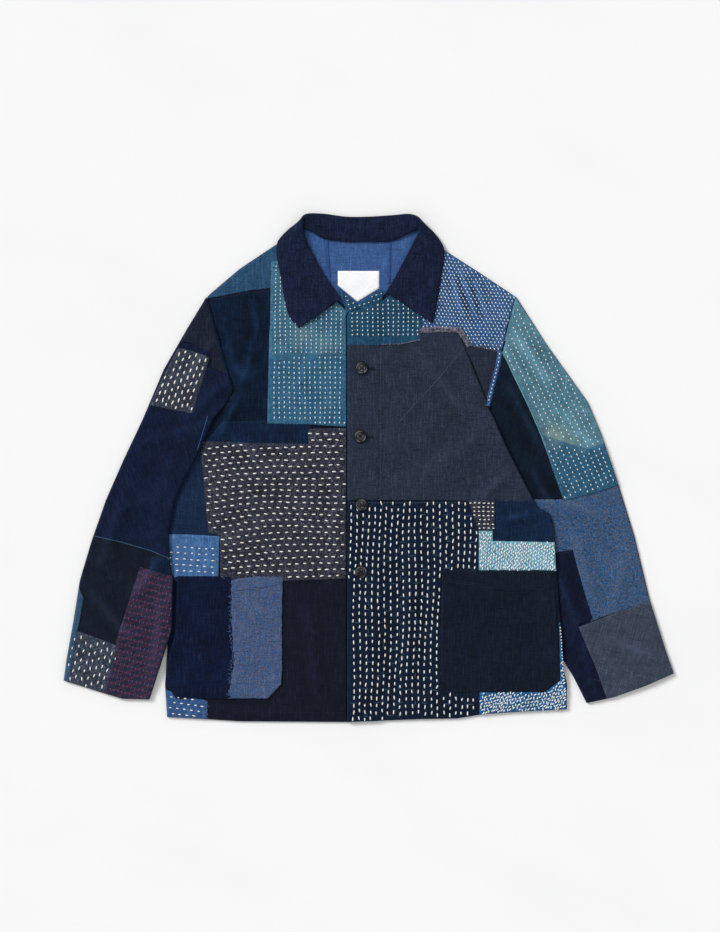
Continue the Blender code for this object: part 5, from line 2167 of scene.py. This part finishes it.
@dataclass
class Pockets:
    """Two patch pockets, open at the top."""

    step: float = 5.0

    def grid(self, table: tuple) -> tuple[np.ndarray, np.ndarray]:
        """Plan grid of a pocket from its rows of y, left x and right x."""
        rows = np.array(table, float)[::-1]
        count = int((rows[-1, 0] - rows[0, 0]) / self.step)
        y = np.linspace(rows[-1, 0], rows[0, 0], count)
        left = np.interp(y, rows[:, 0], rows[:, 1])
        width = np.interp(y, rows[:, 0], rows[:, 2]) - left
        x = left[:, None] + stops_across(width, (0.0, 0.5, 1.5, 3.0), self.step)
        return x, np.broadcast_to(y[:, None], x.shape)

    def build(self, wardrobe: Wardrobe, sewn: dict[Host, list]) -> list[bpy.types.Object]:
        """Make both pockets.

        Args:
            wardrobe: the finishes.
            sewn: the pieces sewn to each panel.

        Returns:
            The pockets.
        """
        pockets = []
        for host, table, front, finish in (
            (Host.POCKET_RIGHT, CUT.pocket_right, Lie.front_right, "pocket_navy"),
            (Host.POCKET_LEFT, CUT.pocket_left, Lie.front_left, "pocket_black"),
        ):
            panel = Panel(
                f"{host.value}_panel", host.value, f"{host.value}_cloth", finish,
                self.grid(table), host.top,
                lambda x, y, front=front: front(x, y) + CUT.patch + CUT.seam,
                (f"front_{host.value.split('_')[1]}",), sewn[host],
            )
            pockets.append(panel.build(wardrobe))
        return pockets


@dataclass
class Fastening:
    """Four horn buttons with sewing thread, and a worked buttonhole under each."""

    hole_run: tuple[float, float] = (3.0, 17.0)

    def build(self, wardrobe: Wardrobe) -> list[bpy.types.Object]:
        """Give the buttons their finish and make the threads and buttonholes.

        Args:
            wardrobe: the finishes.

        Returns:
            The new pieces.
        """
        pieces = []
        starts, ends = [], []
        edge_starts, edge_ends = [], []
        slits = []
        top = CUT.placket_top + CUT.seam + CUT.button_height - 0.75
        for number, (x, y) in enumerate(CUT.buttons, start=1):
            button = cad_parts[f"button_{number}"]
            button.data.materials.clear()
            button.data.materials.append(wardrobe.get("horn"))
            for side in (-1.0, 1.0):
                starts.append((x + 1.7 * side, y - 2.9, top))
                ends.append((x + 1.7 * side, y + 2.9, top))
            self.work_hole(x, y, edge_starts, edge_ends)
            level = Host.FRONT_LEFT.top(np.array([x]), np.array([y]))[0] + 2.0 * CUT.patch
            run = np.linspace(x + self.hole_run[0], x + self.hole_run[1], 12)
            slits.append(layer(run, np.full(12, y - 0.6), np.full(12, level)))
        mesh = stitch_mesh("button_threads", np.array(starts), np.array(ends), 1.5)
        pieces.append(add_piece("button_threads", mesh, wardrobe.get("thread_navy")))
        mesh = stitch_mesh("buttonhole_edges", np.array(edge_starts), np.array(edge_ends), 0.8)
        pieces.append(
            add_piece("buttonhole_edges", mesh, wardrobe.get("thread_navy"))
        )
        # Buttonhole slits: thin black ridges, painted shade in each cut.
        for number, line in enumerate(slits, start=1):
            name = f"buttonhole_slit_{number}"
            mesh = ridge(name, line, 0.9, 0.35)
            pieces.append(add_piece(name, mesh, wardrobe.get("buttonhole_shade")))
        return pieces

    def work_hole(self, x: float, y: float, starts: list, ends: list) -> None:
        """Upright stitches on both sides of one slit.

        Args:
            x: the button's centre.
            y: the button's centre.
            starts: takes the stitches' starts.
            ends: takes the stitches' ends.
        """
        run = np.arange(x + self.hole_run[0], x + self.hole_run[1] + 0.8, 0.9)
        for side in (-1.0, 1.0):
            first = y - 0.6 + 0.3 * side
            for low, high, into in ((first, first + 1.7 * side, starts), (first, first, None)):
                if into is None:
                    continue
                at = np.full(len(run), low)
                z = Host.FRONT_LEFT.top(run, at) + 2.0 * CUT.patch
                into += layer(run, at, z).tolist()
                ends += layer(run, np.full(len(run), high), z).tolist()


@dataclass(frozen=True)
class LineWork:
    """One line of stitching or one raised seam on a panel."""

    name: str
    host: Host
    points: tuple
    lift: float
    thread: str = "thread_grey"
    pitch: float = 4.4
    length: float = 3.0
    width: float = 0.8

    def build(self, wardrobe: Wardrobe) -> bpy.types.Object:
        """Lay the line's stitches."""
        slot = f"{self.host.value}_cloth"
        line = on_host(self.host, list(self.points), self.lift)
        thread = SeamThread(self.pitch, self.length, self.width)
        return thread.run(self.name, line, wardrobe, self.thread, slot)


@dataclass(frozen=True)
class EdgeBand:
    """A low raised band on a panel: a pale worn fold edge, a hem or a seam allowance."""

    name: str
    host: Host
    points: tuple
    lift: float
    finish: str
    width: float = 2.0
    height: float = 0.5

    def build(self, wardrobe: Wardrobe) -> bpy.types.Object:
        """Lay the band."""
        line = on_host(self.host, list(self.points), self.lift, 3.0)
        mesh = ridge(self.name, line, self.width, self.height)
        return add_piece(self.name, mesh, wardrobe.get(self.finish))


@dataclass(frozen=True)
class Fringe:
    """Loose thread ends along a frayed edge, lying in all directions across it."""

    name: str
    host: Host
    points: tuple
    lift: float
    thread: str
    spacing: float
    length: float
    width: float

    def build(self, wardrobe: Wardrobe) -> bpy.types.Object:
        """Lay the thread ends."""
        line = on_host(self.host, self.points, self.lift, self.spacing)
        rng = np.random.default_rng(len(line))
        turn = rng.uniform(0.0, 2.0 * np.pi, len(line))
        reach = self.length * rng.uniform(0.3, 1.0, len(line))
        ends = line[:, :2] + np.stack([np.cos(turn), np.sin(turn)], axis=1) * reach[:, None]
        ends = self.host.held_in(ends, 0.8)
        height = self.host.top(*ends.T) + self.host.pucker(*ends.T) + self.lift
        starts = line + np.array([0.0, 0.0, 0.2])
        mesh = stitch_mesh(self.name, starts, layer(*ends.T, height), self.width)
        return add_piece(self.name, mesh, wardrobe.get(self.thread))


LINES = (
    LineWork(
        "placket_seam", Host.FRONT_LEFT, ((17, 173), (17, -40), (16, -357)), 0.9, "thread_grey", 3.2,
        2.6, 0.6,
    ),
    LineWork(
        "armhole_dots", Host.FRONT_LEFT, ((186, 166), (184, 150), (178, 120), (168, 88)), 2.0,
        "thread_ice", 5.6, 2.8, 1.7,
    ),
    LineWork(
        "river_edge_dots", Host.FRONT_LEFT, ((273, -222), (274, -262), (277, -300)), 2.4,
        "thread_ice", 4.4, 2.8, 1.7,
    ),
    LineWork(
        "pocket_left_hem_a", Host.POCKET_LEFT, ((104, -156), (162, -165), (208, -169), (263, -165)),
        0.8, "thread_navy", 3.0, 2.6, 0.8,
    ),
    LineWork(
        "pocket_left_hem_b", Host.POCKET_LEFT, ((104, -159), (162, -168), (208, -172), (264, -168)),
        0.8, "thread_navy", 3.0, 2.6, 0.8,
    ),
    LineWork(
        "pocket_right_hem", Host.POCKET_RIGHT, ((-190, -174), (-150, -170), (-122, -163)), 1.6,
        "thread_navy", 3.0, 2.4, 0.8,
    ),
    LineWork(
        "cuff_left_seam_a", Host.SLEEVE_LEFT, ((318, -299), (350, -308), (400, -284), (438, -262)),
        2.4, "thread_grey", 3.2, 2.2, 0.7,
    ),
    LineWork(
        "cuff_left_seam_b", Host.SLEEVE_LEFT, ((300, -230), (350, -212), (408, -190)), 2.4,
        "thread_grey", 3.2, 2.2, 0.6,
    ),
    LineWork(
        "hem_seam_right", Host.FRONT_RIGHT, ((-228, -344), (-120, -346), (-34, -347)), 0.8,
        "thread_navy", 3.6, 2.4, 0.7,
    ),
    LineWork(
        "hem_seam_left", Host.FRONT_LEFT, ((-28, -347), (60, -345), (156, -337)), 1.6,
        "thread_navy", 3.6, 2.4, 0.7,
    ),
    LineWork("grey_bottom_seam", Host.FRONT_LEFT, ((-30, -49), (60, -49), (140, -49)), 1.6),
)

LINING_PATCHES = tuple(patch for patch in PATCHES if patch.host is Host.LINING)


@dataclass
class Studio:
    """Pale floor, soft light from the collar's side, and the camera straight above."""

    height: float = 3.0
    shown: float = 1.3235
    centre: tuple[float, float] = (-0.0124, 0.0032)
    sensor: float = 36.0
    floor_half: float = 14.0
    floor_drop: float = 0.0004

    def build(self, wardrobe: Wardrobe) -> None:
        """Make the floor, the lights and the camera.

        Args:
            wardrobe: the finishes.
        """
        mesh = bpy.data.meshes.new("floor")
        corners = np.array([(-1, -1, 0), (1, -1, 0), (1, 1, 0), (-1, 1, 0)], float)
        corners = corners * self.floor_half - (0.0, 0.0, self.floor_drop)
        mesh.from_pydata(corners.tolist(), [], [(0, 1, 2, 3)])
        mesh.materials.append(wardrobe.get("paper_floor"))
        floor = bpy.data.objects.new("floor", mesh)
        bpy.context.scene.collection.objects.link(floor)

        bpy.context.scene.view_settings.view_transform = "Standard"
        world = bpy.data.worlds.new("studio")
        world.use_nodes = True
        world.node_tree.nodes["Background"].inputs["Color"].default_value = (1.0, 1.0, 1.0, 1.0)
        world.node_tree.nodes["Background"].inputs["Strength"].default_value = 0.62
        bpy.context.scene.world = world
        self.sun("key", (-1.0, 0.85, 0.95), 20.0, 2.35)

        camera = bpy.data.objects.new("camera", bpy.data.cameras.new("camera"))
        camera.data.sensor_width = self.sensor
        camera.data.lens = self.sensor * self.height / self.shown
        camera.location = (*self.centre, self.height)
        bpy.context.scene.collection.objects.link(camera)
        bpy.context.scene.camera = camera

    def sun(self, name: str, direction: tuple, spread: float, strength: float) -> None:
        """Add a wide soft light that falls evenly on the whole floor.

        Args:
            name: the light's name.
            direction: from the jacket towards the light.
            spread: apparent width of the light, in degrees.
            strength: watts per square metre.
        """
        lamp = bpy.data.lights.new(name, "SUN")
        lamp.angle = np.radians(spread)
        lamp.energy = strength
        holder = bpy.data.objects.new(name, lamp)
        holder.rotation_euler = Vector(direction).to_track_quat("Z", "Y").to_euler()
        bpy.context.scene.collection.objects.link(holder)


def main() -> None:
    """Build the jacket's looks piece by piece, then the studio."""
    logging.basicConfig(level=logging.INFO, format="%(name)s: %(message)s")
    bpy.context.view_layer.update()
    wardrobe = Wardrobe(PLAIN_FINISHES)
    sewn: dict[Host, list] = {host: [] for host in Host}
    for work in (*PATCHES, *LINES, *BANDS, *FRINGES):
        if work.host in (Host.LINING, Host.FACING):
            continue
        made = work.build(wardrobe)
        sewn[work.host] += made if isinstance(made, list) else [made]
    sewn[Host.FRONT_LEFT] += Fastening().build(wardrobe)
    pieces = Body().build(wardrobe, sewn)
    for sleeve in SLEEVES:
        pieces.append(sleeve.build(wardrobe, sewn[sleeve.host]))
    pieces += Collar().build(wardrobe)
    pieces += Neck().build(wardrobe)
    pieces += Pockets().build(wardrobe, sewn)
    Studio().build(wardrobe)
    for piece in pieces + [piece for group in sewn.values() for piece in group]:
        LOG.info("%s: %d faces", piece.name, len(piece.data.polygons))


FRINGES = (
    Fringe(
        "pocket_blue_fringe", Host.POCKET_RIGHT,
        ((-191, -160), (-196, -190), (-195, -230), (-192, -270), (-197, -300), (-196, -330)), 1.5,
        "thread_blue", 1.3, 6.5, 0.6,
    ),
    Fringe(
        "chest_fringe", Host.FRONT_LEFT,
        ((74, 196), (101, 198), (129, 197), (143, 177), (166, 170), (186, 166)), 1.7,
        "thread_grey", 1.6, 4.0, 0.55,
    ),
    Fringe(
        "strip_fringe", Host.FRONT_RIGHT, ((-206, 34), (-170, 32), (-120, 33), (-86, 34)), 2.6,
        "thread_blue", 2.6, 3.6, 0.5,
    ),
    Fringe(
        "hem_fringe", Host.FRONT_RIGHT, ((-229, -331), (-229, -352)), 1.4, "thread_teal", 1.5, 3.6,
        0.5,
    ),
)

BANDS = (
    EdgeBand(
        "armhole_seam_right", Host.SLEEVE_RIGHT, ((-229, 240), (-211, 174), (-193, 111)), 1.0,
        "chest_navy", 5.0, 0.9,
    ),
    EdgeBand(
        "sleeve_pale_seam", Host.SLEEVE_RIGHT, ((-228, 74), (-235, 50), (-243, 25)), 1.8,
        "hem_blue", 1.1, 0.3,
    ),
    EdgeBand(
        "armhole_seam_left", Host.SLEEVE_LEFT, ((208, 240), (201, 212), (193, 180)), 1.0,
        "sleeve_teal", 4.6, 0.9,
    ),
    EdgeBand(
        "chest_diagonal", Host.FRONT_LEFT, ((135, 171), (101, 129), (53, 77), (44, 66)), 0.85,
        "cuff_grey", 1.3, 0.3,
    ),
    EdgeBand(
        "wing_fray", Host.FRONT_LEFT, ((141, 176), (150, 173), (168, 170), (188, 164)), 1.0,
        "frayed_lilac", 2.0, 0.5,
    ),
    EdgeBand(
        "teal_lower_edge", Host.FRONT_LEFT, ((18, 175.5), (44, 176), (73, 182)), 1.5, "frayed_lilac",
        1.6, 0.4,
    ),
    EdgeBand(
        "teal_sleeve_edge", Host.SLEEVE_LEFT,
        ((192, 162), (203, 137), (229, 83), (244, 48), (262, 0), (277, -42)), 1.9, "edge_cyan",
        1.8, 0.5,
    ),
    EdgeBand(
        "armhole_strip", Host.FRONT_LEFT, ((186, 166), (184, 150), (178, 120), (168, 88)), 1.2,
        "dotted_blue", 7.0, 0.7,
    ),
    EdgeBand(
        "black_sleeve_edge", Host.SLEEVE_RIGHT,
        ((-399, -94), (-353, -104), (-308, -117), (-276, -130)), 1.4, "outer_strip", 1.4, 0.4,
    ),
)

SLEEVES = (
    Sleeve(
        Host.SLEEVE_RIGHT, CUT.sleeve_right_outer, CUT.sleeve_right_inner, CUT.sleeve_right_cuff,
        Lie.sleeve_under, "sleeve_navy", ("front_right", "back"), -0.45,
    ),
    Sleeve(
        Host.SLEEVE_LEFT, CUT.sleeve_left_outer, CUT.sleeve_left_inner, CUT.sleeve_left_cuff,
        lambda x, y: np.zeros(np.shape(x)), "inner_navy", (), 0.45,
    ),
)


if __name__ == "__main__":
    main()
